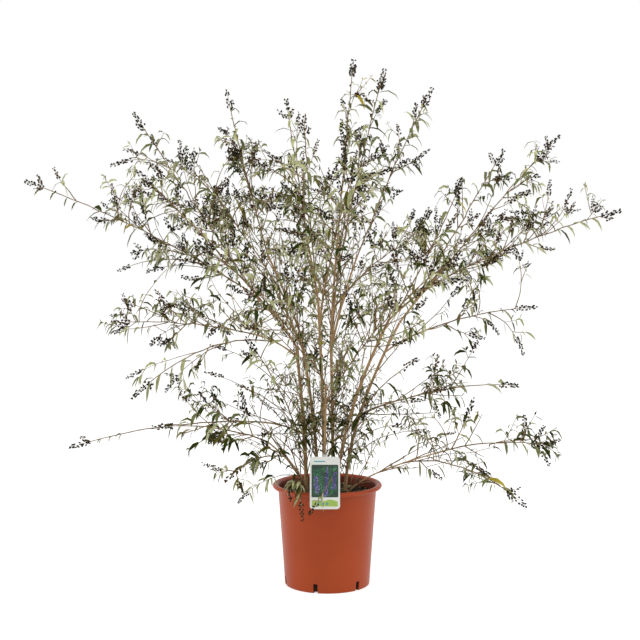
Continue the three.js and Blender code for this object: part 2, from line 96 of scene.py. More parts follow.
# name, parent, share of the way along it, tip x, y, z, then as above
BOUGHS = table("""
bough_left_high stem_left 1 -205 15 800 4.1 3 0.88 0.2
bough_left_low stem_left 0.93 -190 -30 690 3.3 2.6 0.75 0.42
bough_lower_left stem_left 0.45 -220 -35 455 3.3 2.6 0.68 0.6
bough_top_left stem_back_left 1 -165 110 900 3.5 2.8 0.88 0.42
bough_back_left stem_back_left 0.9 -150 260 795 3.2 2.6 0.88 0.3
bough_top_centre stem_centre 1 -55 -45 950 3.6 2.8 0.88 0.42
bough_front_high stem_centre 0.88 0 -160 865 3.3 2.6 0.88 0.42
bough_right_high stem_right 1 290 -75 835 3.5 2.8 0.88 0.42
bough_right_top stem_outer_right 1 340 80 885 3.5 2.8 0.88 0.42
bough_right_mid stem_outer_right 0.85 290 110 695 3.1 2.6 0.75 0.25
bough_right_low stem_outer_right 0.5 215 0 512 3.1 2.6 0.68 0.35
bough_top stem_upright 1 30 50 960 3.8 3 0.88 0.42
bough_top_right stem_upright 0.92 85 110 900 3.3 2.6 0.88 0.42
bough_back stem_upright 0.84 25 230 795 3.3 2.6 0.88 0.42
""")
# name, parent, share of the way along it, reach x, y, z, spread, bow and leafy share, then how it is dressed:
# how full of side twigs it is beside the others, and the share of it past which it bears none
MASSES = {"foliage_" + name: row for name, row in table("""
far_left bough_left_high 1 -820 0 1105 150 20 1 0.72 0.55
upper_left bough_left_high 0.8 -530 80 1290 190 20 1 0.46 0.64
mid_left bough_left_high 0.5 -500 -120 1130 150 20 1 0.46 0.86
left bough_left_low 1 -600 60 715 170 20 1 0.5 0.86
low_left bough_left_low 0.6 -520 -120 530 150 70 1 0.22 0.7
lower_left bough_lower_left 1 -695 -60 388 140 30 0.5 0.1 0.6
front_low_left stem_low_left 1 -450 -230 470 140 20 1 0.07 0.42
foot_left stem_low_left 0.75 -265 -270 335 95 25 1 0.55 0.86
top_left bough_top_left 1 -275 60 1350 160 20 1 0.75 0.6
inner_left bough_top_left 0.3 -420 200 1180 170 20 1 0.26 0.75
back_left bough_back_left 1 -430 520 1050 190 20 1 0.28 0.86
back_low_left bough_back_left 0.5 -360 430 640 180 60 1 0.5 0.86
top_centre bough_top_centre 1 -110 -60 1320 150 20 1 0.28 0.6
front_top bough_top_centre 0.2 -60 -270 1265 170 20 1 0.12 0.5
front bough_front_high 1 60 -480 1130 170 20 1 0.24 0.86
front_left stem_front 1 -310 -540 960 180 20 1 0.38 0.86
front_right stem_front 0.85 310 -540 930 180 20 1 0.55 0.86
top bough_top 1 70 0 1435 150 20 1 0.4 0.62
top_inner bough_top 0.25 150 -60 1395 140 20 1 0.18 0.6
top_right bough_top_right 1 290 130 1360 150 20 1 0.15 0.62
back_top bough_back 1 90 480 1200 190 20 1 0.22 0.86
back_right bough_back 0.75 330 520 960 190 20 1 0.5 0.86
back bough_back 0.5 -40 560 760 180 50 1 0.6 0.86
right_top bough_right_top 1 640 100 1230 160 20 1 0.6 0.68
inner_right bough_right_top 0.25 500 200 1195 160 20 1 0.26 0.7
far_right bough_right_high 1 780 -60 1025 160 20 1 0.62 0.72
front_mid_right bough_right_high 0.2 340 -260 1110 160 20 1 0.28 0.75
right bough_right_mid 1 585 110 755 160 20 1 0.2 0.5
low_right bough_right_low 1 530 60 540 140 30 1 0.22 0.7
lower_right stem_low_right 1 600 -110 400 140 30 1 0.22 0.86
foot_right stem_low_right 0.8 515 -230 262 110 60 1 0.16 0.7
inner_low_left stem_left 0.32 -215 -120 690 120 20 1 0.8 0.86
inner_low_right stem_right 0.4 235 -170 640 120 20 1 0.12 0.6
inner_back stem_upright 0.4 70 230 760 120 20 1 0.25 0.86
""").items()}
# gaps inside the crown that finer twigs fill: middle x, y, z, radius and how many
FILLS = numbers("""
-174 -150 1080 60 5   -178 220 1060 60 8   -270 40 1090 45 4   -284 260 1091 60 7   -270 60 1190 45 7
-82 -200 989 60 9   -89 220 980 60 7   -77 -180 904 60 5   -83 220 886 60 4   -400 10 900 50 4
-395 0 990 50 8   124 -220 782 60 4   140 200 750 60 3   355 -40 890 55 6   338 -220 898 60 4
378 200 879 60 4   470 -20 905 50 6   497 200 896 60 3   -90 -300 1000 80 6   160 -280 1060 80 5
170 -330 880 80 7   -190 -330 830 80 2   -100 300 1040 80 3   210 280 1080 80 4   -190 330 850 80 2
220 330 820 80 4   50 280 520 90 4   -190 260 480 80 4   240 250 480 80 5   -480 0 1110 45 6
-215 0 1125 40 5   -400 20 785 50 4   -292 0 785 50 4   477 0 1010 50 6   120 0 1290 35 3
-73 -180 693 60 4   -77 180 657 60 3   360 20 570 50 3   365 -120 360 40 5   -55 -60 560 45 5
-65 -70 435 40 5   240 -60 460 40 8
""", 5)
# twigs that end in a seed head beyond the rest, by parent: share of the way along it, tip x, y, z, for each
OUTER_TWIGS = table("""
foliage_far_left 0.28 -521 -90 911  0.2 -573 40 859  0.14 -500 70 855  0.5 -591 30 1053  0.78 -734 -20 1139
foliage_upper_left 0.7 -589 20 1145  0.78 -484 60 1225  0.62 -561 100 1191
foliage_inner_left 0.7 -465 230 1172  0.6 -392 120 1197
foliage_top_left 0.6 -294 0 1247  0.4 -183 40 1211
foliage_top_centre 0.45 -75 -90 1284  0.3 -175 -20 1187
foliage_top 0.6 37 60 1328  0.75 103 -20 1331
foliage_top_right 0.72 243 80 1318  0.55 196 170 1265  0.45 226 60 1162  0.12 204 40 1081
foliage_inner_right 0.75 517 150 1114
foliage_right_top 0.7 606 60 1184  0.5 593 130 1120
foliage_far_right 0.5 606 -20 1048  0.6 652 -100 1046  0.82 721 -40 1046
foliage_right 0.4 475 60 681  0.55 547 80 621
foliage_low_right 0.15 306 60 626  0.1 313 60 450
foliage_lower_right 0.72 527 -60 479  0.8 590 -130 350
foliage_low_left 0.55 -539 -80 579  0.35 -433 -100 544
foliage_lower_left 0.1 -348 -60 539
foliage_front_low_left 0.35 -303 -160 563  0.5 -376 -250 564  0.2 -274 -220 412
foliage_foot_left 0.35 -208 -240 379  0.1 -169 -240 439
foliage_left 0.55 -571 100 776  0.3 -401 60 778  0.45 -490 60 651
stem_right 0.25 206 -120 459  0.35 255 -160 531
stem_outer_right 0.22 286 60 411  0.16 319 120 358
stem_low_right 0.6 334 -170 448
stem_left 0.2 -289 20 456  0.3 -329 -60 593  0.55 -324 60 654
stem_low_left 0.5 -236 -140 515
stem_back_left 0.25 -256 120 535
""")
# twigs that hang over the pot's rim: parent, share of the way along it, middle and tip
LOW_TWIGS = [("stem_low_left", 0.3, (-78, -150, 352), (-66, -205, 218)),
             ("stem_low_left", 0.42, (-165, -165, 348), (-236, -188, 262)),
             ("stem_low_left", 0.25, (-100, -130, 335), (-98, -190, 268)),
             ("stem_right", 0.22, (20, -205, 345), (-48, -212, 236))]

# ---- the finer growth, in millimetres
# steps between nodes, the least size of a side twig with a seed head, and how long leaves are
FINE = {"spine_node": 37.78, "twig_node": 28, "shoot_node": 17, "limb_node": 36, "hung_node": 14,
        "headed": 55, "leaf": (26, 57), "small_leaf": (20, 46), "end_leaf": (22, 68), "tuft": (8, 18)}
# each kind of twig: the step between its points and how far they sway
WANDER = {"spine": (9, 1.2), "twig": (8, 0.9), "side": (10, 0.9), "shoot": (12, 0.6), "hung": (8, 0.8),
          "head": (4, 0.5)}
# the radius of the seed head that ends it, and how long the short shoots at its foot and tip are
HEADS = {"spine": (9.6, 11.6), "twig": (7.2, 9.0), "side": (6.8, 9.0), "shoot": (5.6, 7.2), "hung": 7.5}
SHOOTS = {"twig": (78, 30), "side": (74, 28)}
# arms whose tip is higher than this have closer leaves on their bare ends: step and chance, high and low
HIGH_TIP, HIGH_END, LOW_END = 1190, (25, 0.9), (34, 0.75)
# chances of a side twig, or else a leaf, at a spine's node, of a short shoot at a twig's, and of tufts
CHANCE = {"side": 0.85, "leaf": 0.4, "shoot": 0.3, "shoot_leaf": 0.84, "tuft": 0.25, "twig_tuft": 0.2,
          "tip_tuft": 0.7}
# how far beyond its spread a mass may reach, its outermost twigs too, and how far limbs bear shoots
REACH = {"mass": 1.25, "outer": 1.4, "limb": 130}
# the crown's middle height, how far from it seed heads begin, and over what distance they become common
CROWN = {"middle": 550, "bare": 330, "fade": 500}
# twigs that fill gaps: how they scatter, how far from their foot they end and how far above it
FILL = {"scatter": 0.6, "away": (80, 170), "above": 30}
SEEDS = {"fill": 400, "bark": 500, "outer": 600, "limb": 700, "low": 800, "mass": 900, "soil": 77, "head": 40,
         "card": 5}
# shares of the leaf colours sage, grey, olive, green and yellow, above and below the heights of LOW_CROWN;
# the greener, darker share below is painted shade under the crown
DEAL, PAINTED_SHADE_DEAL = np.array([[0.4, 0.19, 0.1, 0.295, 0.015], [0.2, 0.17, 0.16, 0.46, 0.01]])
LOW_CROWN, KEEPS_COLOUR, GREEN = (480, 720), 0.6, 3
# leaves: where their rows of points are along the blade, how wide it is there, faces and least length
BLADES = {"long": ([0, 0.16, 0.42, 0.74, 1], [0, 0.66, 1, 0.66, 0], 24, 34),
          "short": ([0, 0.3, 0.7, 1], [0, 0.95, 0.75, 0], 16, 17),
          "young": ([0, 0.45, 1], [0, 1, 0], 8, 0)}
BARK_STEP = 3.0
TWIG_PIECES, HEAD_PIECES, MOST_TRIANGLES = 2, 3, 190000
# name, red, green and blue of its dark tone and of its light one; the darker plastic of the pot's inside is
# painted shade
COLOURS = table("""
bark 120 90 56 212 177 132
twig_bark 104 82 54 156 131 96
leaf_sage_upper 148 152 100 184 185 138
leaf_grey_upper 92 97 54 126 129 80
leaf_olive_upper 70 70 18 104 101 38
leaf_green_upper 34 44 2 54 66 6
leaf_yellow_upper 150 134 28 182 162 56
leaf_sage_under 186 187 146 212 211 178
leaf_grey_under 150 153 110 180 181 140
leaf_olive_under 136 133 86 164 159 112
leaf_green_under 104 111 66 134 139 92
leaf_yellow_under 164 150 70 190 175 98
pod_dark 26 25 16 50 46 32
pod_grey 50 48 35 80 75 57
pod_brown 52 40 25 80 62 41
pod_tan 76 56 37 106 82 56
pot_plastic 163 61 12 175 68 16
pot_plastic_inside 112 46 22 130 55 28
potting_mix 22 16 12 58 44 32
bit_dark 30 22 16 60 44 32
bit_brown 66 46 30 104 76 50
bit_pale 126 116 84 170 158 120
card_white 226 228 220 236 238 230
ink_deep_green 22 52 38 36 72 50
ink_leaf 40 104 68 70 136 86
ink_violet 80 58 142 104 80 172
ink_lime 160 190 80 176 204 96
ink_teal 66 150 166 84 166 180
ink_lilac 146 130 196 168 152 212
floor_white 214 214 214 218 218 218
""")
# how much brighter than its plain colour a surface looks in the light of this scene
BRIGHT = 1.6
UP = np.array([0.0, 0.0, 1.0])
EAST = np.array([1.0, 0.0, 0.0])
BOX = np.array([(a, b, c) for a in (-1, 1) for b in (-1, 1) for c in (-1, 1)], float)
BOX_SIDES = [(0, 1, 3, 2), (4, 6, 7, 5), (0, 4, 5, 1), (2, 3, 7, 6), (0, 2, 6, 4), (1, 5, 7, 3)]


# ---- small tools
def lerp(a, b, t):
    return a + (b - a) * t


def unit(v):
    return v / np.maximum(np.linalg.norm(v, axis=-1, keepdims=True), 1e-12)


def circle(sides):
    return np.arange(sides) * 2 * math.pi / sides


def both(first, i):
    """The turns of the two twigs or leaves at node i, square to those of the next node."""
    return [first + i * math.pi / 2 + opposite for opposite in (0, math.pi)]


def sideways(across, axis, least):
    """The direction across, or where it is too short to tell, one square to the axis."""
    if np.linalg.norm(across) >= least:
        return across
    return np.cross(UP if abs(axis[2]) < 0.85 else EAST, axis)


def seeded(seed):
    """The source's random numbers, in the same order."""
    state, full = seed, 0xFFFFFFFF

    def draw():
        nonlocal state
        state = (state + 0x6D2B79F5) & full
        t = ((state ^ (state >> 15)) * (1 | state)) & full
        t = ((t + ((t ^ (t >> 7)) * (61 | t) & full)) & full) ^ t
        return (t ^ (t >> 14)) / 4294967296

    return draw


class Curve:
    """A quadratic Bezier curve."""

    def __init__(self, start, bend, end):
        self.p = np.array([start, bend, end], float)

    def at(self, t):
        t = np.asarray(t, float)[..., None]
        return (1 - t) ** 2 * self.p[0] + 2 * (1 - t) * t * self.p[1] + t * t * self.p[2]

    def along(self, t):
        t = np.asarray(t, float)
        return unit(self.at(np.minimum(t + 1e-4, 1)) - self.at(np.maximum(t - 1e-4, 0)))

    def length(self):
        p = self.at(np.linspace(0, 1, 201))
        return float(np.linalg.norm(np.diff(p, axis=0), axis=1).sum())

    def square(self, t):
        """Two directions square to the curve at t, and the one along it."""
        axis = self.along(t)
        across = unit(sideways(np.cross(self.p[1] - self.p[0], self.p[2] - self.p[0]), axis, 1))
        return across, np.cross(axis, across), axis


# ---- the source's growing rule
class Standing:
    """What is already standing: capsules, each of one node."""

    most = 8000

    def __init__(self):
        self.a, self.b = np.zeros((2, self.most, 3))
        self.radius, self.node = np.zeros(self.most), np.zeros(self.most, int)
        self.names, self.count = {}, 0

    def add(self, node, a, b, radius):
        i, self.count = self.count, self.count + 1
        self.a[i], self.b[i], self.radius[i] = a, b, radius
        self.node[i] = self.names.setdefault(node, len(self.names))

    def chain(self, node, curve, stations):
        for (t0, r0), (t1, r1) in zip(stations, stations[1:]):
            self.add(node, curve.at(t0), curve.at(t1), max(r0, r1))

    def clear(self, node, a, b, keep, first=None):
        """Clear of the capsules of every other node, or of the first ones only."""
        n = self.count if first is None else first
        c, v = self.a[:n], self.b[:n] - self.a[:n]
        u, w = b - a, a - c
        uu, uv, vv, uw, vw = u @ u, v @ u, (v * v).sum(1), w @ u, (v * w).sum(1)
        square = uu * vv - uv * uv
        s = np.where(square > 1e-9, np.clip((uv * vw - vv * uw) / np.maximum(square, 1e-9), 0, 1), 0)
        t = np.clip((uv * s + vw) / np.maximum(vv, 1e-9), 0, 1)
        s = np.clip((uv * t - uw) / max(uu, 1e-9), 0, 1)
        gap = np.linalg.norm(w + s[:, None] * u - t[:, None] * v, axis=1)
        near = (gap <= self.radius[:n] + keep) & (self.node[:n] != self.names.get(node, -1))
        return not near.any()


standing = Standing()
limbs, spines = {}, {}


def even(steps, foot, tip):
    return [(i / steps, lerp(foot, tip, i / steps)) for i in range(steps + 1)]


def add_limb(name, curve, stations, foot, tip, dressed, bushy, host=None, at=0):
    limbs[name] = {"curve": curve, "foot": foot, "tip": tip, "dressed": dressed, "bushy": bushy,
                   "host": host, "at": at}
    standing.chain(name, curve, stations)


def grow_limbs():
    for name, (fx, fy, tx, ty, tz, foot, tip, *looks) in STEMS.items():
        base = np.array([fx, fy, SOIL["top"] + GAP])
        shoulder = np.array([fx, fy, lerp(base[2], tz, 0.4)])
        stations = [(0, foot * STEM["flare"]), (STEM["flare_share"], foot * 1.08)]
        stations += even(STEM["steps"], foot, tip)[1:]
        add_limb(name, Curve(base, shoulder, [tx, ty, tz]), stations, foot, tip, *looks)
    for name, (parent, at, x, y, z, foot, tip, *looks) in BOUGHS.items():
        host = limbs[parent]
        foot = min(foot, lerp(host["foot"], host["tip"], at) * BOUGH["thinning"])
        curve = leaving(host, at, np.array([x, y, z]))
        add_limb(name, curve, even(BOUGH["steps"], foot, tip), foot, tip, *looks, host, at)


def leaving(host, at, tip, bow=0):
    start, along = host["curve"].at(at), host["curve"].along(at)
    if at == 1:
        start = start - along * host["tip"] * 0.5
    reach = tip - start
    bend = start + reach * 0.36 + along * np.linalg.norm(reach) * 0.14
    return Curve(start, bend + UP * bow, tip)


def headed(length, steps, foot, tip):
    bare = 1 - min(0.6, HEAD["length"] / length)
    stalk = [(t * bare, r) for t, r in even(steps, foot, tip)]
    return [*stalk, (lerp(bare, 1, HEAD["widest"]), HEAD["radius"]), (1, 0)]


def raise_spines():
    for name, (parent, at, x, y, z, spread, bow, leafy, full, end) in MASSES.items():
        host = limbs[parent]
        curve = leaving(host, at, np.array([x, y, z]), bow)
        length = curve.length()
        foot = min(SPINE["foot"], lerp(host["foot"], host["tip"], at) * SPINE["thinning"])
        stations = headed(length, SPINE["steps"], foot, SPINE["tip"])
        spines[name] = {"curve": curve, "bare": stations[-3][0], "foot": foot, "length": length,
                        "spread": spread, "leafy": leafy, "full": full, "end": end}
        standing.chain(name, curve, stations)


def spine_distances(point):
    return np.linalg.norm(KNOTS - point, axis=1).reshape(len(spines), -1).min(1)


def in_own_space(name, point):
    """Nearer to its own spine than to any other, and within the mass's reach."""
    away, i = spine_distances(point), ORDER[name]
    own, away[i] = away[i], np.inf
    return bool(own <= REACHES[i] * REACH["mass"] and away.min() > own)


def off_pot(points, keep):
    for p in points:
        if p[2] < POT["height"] + keep and math.hypot(p[0], p[1]) < POT["lip"] + keep or p[2] < keep:
            return False
        beside = abs(p[0] - LABEL["x"]) < LABEL["width"] / 2 + keep
        if beside and p[2] < LABEL["bottom"] + LABEL["height"] + 40 and -190 < p[1] < -50:
            return False
    return True


def is_clear(name, a, b, radius):
    keep = radius + SPACING["clear"]
    return off_pot([a, b, (a + b) / 2], keep) and standing.clear(name, a, b, keep)


def outward(curve, t, turn, splay):
    u, v, along = curve.square(t)
    out = u * math.cos(turn) + v * math.sin(turn)
    return along * math.cos(math.radians(splay)) + out * math.sin(math.radians(splay))


def side_twig(spine, t, turn, length):
    start, way = spine.at(t), outward(spine, t, turn, TWIG["splay"])
    return Curve(start, start + way * length * 0.5, start + way * length * 0.94 + UP * length * TWIG["rise"])


def fits(name, twig, radii):
    if not (in_own_space(name, twig.at(1)) and in_own_space(name, twig.at(0.6))):
        return False
    for i in range(1, len(radii)):
        (t0, r0), (t1, r1) = radii[i - 1], radii[i]
        begin = t1 * 0.3 if i == 1 else t0
        if not is_clear(name, twig.at(begin), twig.at(t1), max(r1, r0)):
            return False
    return True


def plain_leaves(name, curve, length, bare, draw):
    """The source's own leaves: here they only keep their places."""
    pairs = max(1, math.floor(length * bare / SPACING["leaves"] + 0.5))
    first = draw() * math.pi
    for pair in range(pairs):
        t = bare * lerp(0.3, 0.94, (pair + 0.7) / pairs)
        for turn in both(first, pair):
            size = lerp(*LEAF["length"], draw())
            base = curve.at(t)
            way = outward(curve, t, turn, LEAF["splay"])
            tip = base + way * size - UP * size * LEAF["droop"]
            blade = unit(tip - base)
            side = unit(np.cross(blade, UP if abs(blade[2]) < 0.95 else curve.along(t)))
            middle = lerp(base, tip, LEAF["widest"]) + np.cross(side, blade) * size * LEAF["arch"]
            half = size * LEAF["width"] / 2
            free = in_own_space(name, tip) and is_clear(name, lerp(base, middle, 0.5), middle, half)
            if free and is_clear(name, middle, tip, half):
                standing.add(name, base, middle, half)
                standing.add(name, middle, tip, half)


def grow_mass(name, seed):
    """The side twigs of a mass, just as in the source: curve, length, bare share and place on the spine."""
    draw, spine = seeded(seed), spines[name]
    curve, length, leafy = spine["curve"], spine["length"], spine["leafy"]
    twigs, leafed = [], [(curve, length, spine["bare"] * leafy)]
    first = draw() * math.pi
    pairs = max(2, math.floor(length * leafy / SPACING["twigs"] + 0.5))
    for pair in range(pairs):
        t = leafy * lerp(0.14, 0.82, pair / (pairs - 1))
        for turn in both(first, pair):
            turn += (draw() - 0.5) * 0.7
            full = lerp(1, TWIG["shortest"], t) * lerp(0.75, 1.1, draw())
            size = max(HEAD["length"] * 1.6, spine["spread"] * full)
            twig = side_twig(curve, t, turn, size)
            radii = headed(size, TWIG["steps"], TWIG["foot"], TWIG["tip"])
            radii[:1] = [(0, 0), (TWIG["neck"] / size, TWIG["foot"])]
            if not fits(name, twig, radii):
                continue
            standing.chain(name, twig, radii)
            twigs.append((twig, size, radii[-3][0], t))
            leafed.append((twig, size, radii[-3][0]))
    for each in leafed:
        plain_leaves(name, *each, draw)
    return twigs


# ---- the growing of the finer twigs
# what it makes: shoots to tube, leaves to blade and seed heads to stud with capsules
shoots, leaves, heads = [], [], []


def wander(curve, t0, t1, step, amount, rng):
    """Points along a curve with a slight zigzag, none at the ends."""
    n = max(4, int(curve.length() * (t1 - t0) / step) + 1)
    t = np.linspace(t0, t1, n)
    kinks, sway = rng.normal(0, 1, (2, n // 3 + 2))
    share = np.linspace(0, 1, n)
    kinks, sway = (np.interp(share, np.linspace(0, 1, n // 3 + 2), each) for each in (kinks, sway))
    u, v, _ = curve.square((t0 + t1) / 2)
    fade = np.minimum(1, 4 * share * (1 - share))[:, None]
    return curve.at(t) + (kinks[:, None] * u + sway[:, None] * v) * amount * fade


def inside_box(point, keep=2):
    return bool(np.all(point > CAD_BOX[0] + keep) and np.all(point < CAD_BOX[1] - keep))


def in_crown(point, reach):
    return bool((spine_distances(point) <= REACHES * reach).any())


def outer_share(point):
    """Most seed heads stand round the outside of the crown."""
    away = np.linalg.norm(point - [0, 0, CROWN["middle"]])
    return float(np.clip((away - CROWN["bare"]) / CROWN["fade"], 0.03, 0.75))


def tip_lift(point):
    """Twigs high in the crown turn up more than those at its foot."""
    return (point[2] - 420) / 640


class Mass:
    """Dresses one mass: its spine, its side twigs and the finer shoots on them."""

    leafy, leaf_size, shooty = 0.78, 1.0, 1.0
    splay, rise, shrinks = (30, 65), (0.25, 1.1), (1, 0.66, 0.44)

    def __init__(self, name, seed):
        self.name, self.rng, self.mood = name, np.random.default_rng(seed), 0

    def near(self, point):
        return in_own_space(self.name, point)

    def free(self, a, b, keep=1.5):
        if not (inside_box(b) and off_pot([a, b, (a + b) / 2], keep) and self.near(b)):
            return False
        return standing.clear(self.name, a, b, keep, SOLID_LIMBS)

    def spray(self):
        """A new spray of leaves takes one of the plain colours."""
        self.mood = self.rng.random()

    def kind(self, point):
        """Most leaves keep to the colour of their spray; those low in the crown are dealt greener, darker
        colours as painted shade.
        """
        share = self.mood if self.rng.random() < KEEPS_COLOUR else self.rng.random()
        low, high = LOW_CROWN
        deal = lerp(PAINTED_SHADE_DEAL, DEAL, np.clip((point[2] - low) / (high - low), 0, 1))
        return min(4, int(np.searchsorted(np.cumsum(deal), share)))

    def grow(self, twigs):
        rng, spine = self.rng, spines[self.name]
        curve, leafy, bare = spine["curve"], spine["leafy"], spine["bare"]
        self.spray()
        shoots.append((wander(curve, 0, bare, *WANDER["spine"], rng), spine["foot"] * 0.82, 1.1))
        self.head_along(curve, bare, rng.uniform(*HEADS["spine"]), 1.2)
        self.laterals(spine, bare * leafy, [t for *_, t in twigs])
        if leafy < 1:
            for t in np.linspace(lerp(leafy, bare, 0.55), bare, 4):
                for turn in both(0, 0):
                    self.leaf(curve, t, turn + rng.uniform(0, 6), 22)
        for twig, size, twig_bare, t in twigs:
            if t <= spine["end"] * leafy + 0.06:
                self.spray()
                shoots.append((wander(twig, 0, twig_bare, *WANDER["twig"], rng), lerp(1.9, 1.5, t), 0.9))
                self.head_along(twig, twig_bare, rng.uniform(*HEADS["twig"]))
                self.nodes("twig", twig, size, 0.2, twig_bare)

    def laterals(self, spine, t1, taken):
        """Opposite pairs of finer side twigs between those of the source, then leaves on the bare end."""
        rng, curve, length = self.rng, spine["curve"], spine["length"]
        end = t1 * spine["end"]
        count = max(2, round(length * end * spine["full"] / FINE["spine_node"]))
        first = rng.uniform(0, math.pi)
        for i in range(count):
            t = lerp(0.04, end, ((i + rng.uniform(0.2, 0.8)) / count) ** 1.2)
            for turn in both(first, i):
                turn += rng.normal(0, 0.3)
                busy = any(abs(t - other) * length < 9 for other in taken)
                if not busy and rng.random() < CHANCE["side"]:
                    size = spine["spread"] * (1.35 - 1.05 * (t / t1) ** 2) * rng.uniform(0.5, 1.15)
                    self.lateral(curve, t, turn, size)
                elif rng.random() < CHANCE["leaf"]:
                    self.leaf(curve, t, turn, rng.uniform(*FINE["leaf"]))
            if rng.random() < CHANCE["tuft"]:
                self.tuft(curve, t)
        high = curve.at(1)[2] > HIGH_TIP
        step, chance = HIGH_END if high else LOW_END
        for i, t in enumerate(np.arange(end + 12 / length, t1, step / length)):
            for turn in both(first, i):
                if rng.random() < chance:
                    at = t + rng.uniform(-8, 8) / length
                    self.leaf(curve, at, turn, rng.uniform(*FINE["end_leaf"]))
            if high and rng.random() < 0.5:
                self.tuft(curve, t)

    def lateral(self, curve, t, turn, longest):
        """A side twig, or a shorter one where there is no room for it."""
        rng, start = self.rng, curve.at(t)
        for size in longest * np.array(self.shrinks):
            lift = rng.uniform(*self.rise) * np.clip(tip_lift(start), 0.15, 1)
            way = unit(outward(curve, t, turn, rng.uniform(*self.splay)) + UP * lift)
            tip = start + unit(way + UP * lift * 0.8) * size * 0.96
            headed_too = rng.random() < outer_share(tip) * 1.2 and size > FINE["headed"]
            if self.side(start, start + way * size * 0.5, tip, size, headed_too):
                break

    def side(self, start, middle, tip, size, headed_too):
        """A finer side twig with its leaves, where there is room for it."""
        rng = self.rng
        if not (self.free(lerp(start, middle, 0.5), middle) and self.free(middle, tip)):
            return False
        self.spray()
        twig = Curve(start, middle, tip)
        bare = 1 - min(0.55, rng.uniform(36, 60) / size) if headed_too else 1
        shoots.append((wander(twig, 0, bare, *WANDER["side"], rng), rng.uniform(1.2, 1.6), 0.7))
        if headed_too:
            self.head_along(twig, bare, rng.uniform(*HEADS["side"]))
        self.nodes("side", twig, size, 0.3, bare)
        return True

    def reach_out(self, curve, t, tip, headed_too=True):
        """An outer twig that leaves along its parent and sweeps to its tip."""
        start, tip = curve.at(t), np.array(tip)
        size = float(np.linalg.norm(tip - start))
        middle = start + curve.along(t) * size * 0.22 + (tip - start) * 0.34 + UP * size * 0.08
        self.side(start, middle, tip, size, headed_too)

    def head_along(self, curve, bare, radius, company=0.4):
        """The seed head on a twig's bare end; company is how readily smaller ones stand below it."""
        rng = self.rng
        points = wander(curve, bare, 1, *WANDER["head"], rng)
        points = np.clip(points, CAD_BOX[0] + radius * 0.8, CAD_BOX[1] - radius * 0.8)
        heads.append((points, radius, rng.random()))
        shoots.append((points, 0.9, 0.5))
        if rng.random() < company * outer_share(points[-1]):
            self.side_heads(curve, bare, radius)

    def side_heads(self, curve, t, radius):
        """The pair of shorter stalked heads below a terminal one."""
        rng = self.rng
        for turn in both(rng.uniform(0, math.pi), 0):
            if rng.random() < 0.8:
                way = outward(curve, t, turn, rng.uniform(28, 52))
                start, size = curve.at(t), rng.uniform(24, 40)
                tip = start + way * size + UP * size * 0.12
                if self.free(lerp(start, tip, 0.4), tip, 5):
                    side = Curve(start, start + way * size * 0.5, tip)
                    shoots.append((side.at(np.linspace(0, 1, 5)), 0.8, 0.5))
                    heads.append((side.at(np.linspace(0.3, 1, 7)), radius * 0.8, rng.random()))

    def nodes(self, rank, curve, length, t0, t1):
        """Opposite pairs at every node: a short shoot or a leaf each, and often a tuft of young leaves."""
        rng = self.rng
        count = max(2, int(length * (t1 - t0) / FINE["hung_node" if rank == "hung" else "twig_node"]))
        first = rng.uniform(0, math.pi)
        for i in range(count):
            t = lerp(t0, t1, (i + rng.uniform(0.25, 0.75)) / count)
            for turn in both(first, i):
                turn += rng.normal(0, 0.25)
                if rng.random() < CHANCE["shoot"] * self.shooty:
                    if self.short_shoot(curve, t, turn, lerp(*SHOOTS[rank], t) * rng.uniform(0.6, 1.3)):
                        continue
                if rng.random() < self.leafy:
                    self.leaf(curve, t, turn, rng.uniform(*FINE["leaf"]) * lerp(1.1, 0.75, t))
            if rng.random() < CHANCE["twig_tuft"]:
                self.tuft(curve, t)

    def short_shoot(self, curve, t, turn, size):
        rng = self.rng
        start, way = curve.at(t), outward(curve, t, turn, rng.uniform(34, 62))
        tip = start + way * size * 0.95 + UP * size * rng.uniform(0.0, 0.25)
        if not self.free(lerp(start, tip, 0.35), tip):
            return False
        shoot = Curve(start, start + way * size * 0.5, tip)
        headed_too = rng.random() < 0.3 * outer_share(tip) and size > 36
        bare = 1 - min(0.62, rng.uniform(20, 34) / size) if headed_too else 1
        shoots.append((wander(shoot, 0, bare, *WANDER["shoot"], rng), rng.uniform(0.8, 1.1), 0.55))
        if headed_too:
            heads.append((shoot.at(np.linspace(bare, 1, 9)), rng.uniform(*HEADS["shoot"]), rng.random()))
            shoots.append((shoot.at(np.linspace(bare, 1, 4)), 0.6, 0.4))
        count = max(1, int(size * bare / FINE["shoot_node"]))
        first = rng.uniform(0, math.pi)
        for i in range(count):
            at = bare * lerp(0.25, 1, (i + 0.7) / count)
            for turn in both(first, i):
                if rng.random() < CHANCE["shoot_leaf"]:
                    self.leaf(shoot, at, turn, rng.uniform(*FINE["small_leaf"]) * lerp(1.15, 0.75, i / count))
        if not headed_too and rng.random() < CHANCE["tip_tuft"]:
            self.tuft(shoot, 0.99)
        return True

    def leaf(self, curve, t, turn, size):
        rng = self.rng
        way = unit(outward(curve, t, turn, rng.uniform(34, 68)) + rng.normal(0, 0.12, 3))
        base, droop, size = curve.at(t), rng.uniform(0.9, 3.6), size * self.leaf_size
        tip = base + unit(way - UP * droop * 0.5) * size * 0.9
        if self.free(lerp(base, tip, 0.4), tip, 0.8):
            kind = self.kind(base)
            width = size * rng.uniform(0.14, 0.21) * (1.2 if kind == GREEN else 1)
            leaves.append((*base, *way, *curve.along(t), size, width, droop, kind, rng.normal(0, 0.45)))

    def tuft(self, curve, t):
        """Young leaves crowded at a node."""
        rng, base = self.rng, curve.at(t)
        for _ in range(rng.integers(2, 5)):
            way = unit(outward(curve, t, rng.uniform(0, 6.28), rng.uniform(15, 65)))
            size = rng.uniform(*FINE["tuft"])
            if inside_box(base + way * size):
                leaves.append((*base, *way, *curve.along(t), size, size * 0.28, 0.3, self.kind(base), 0))


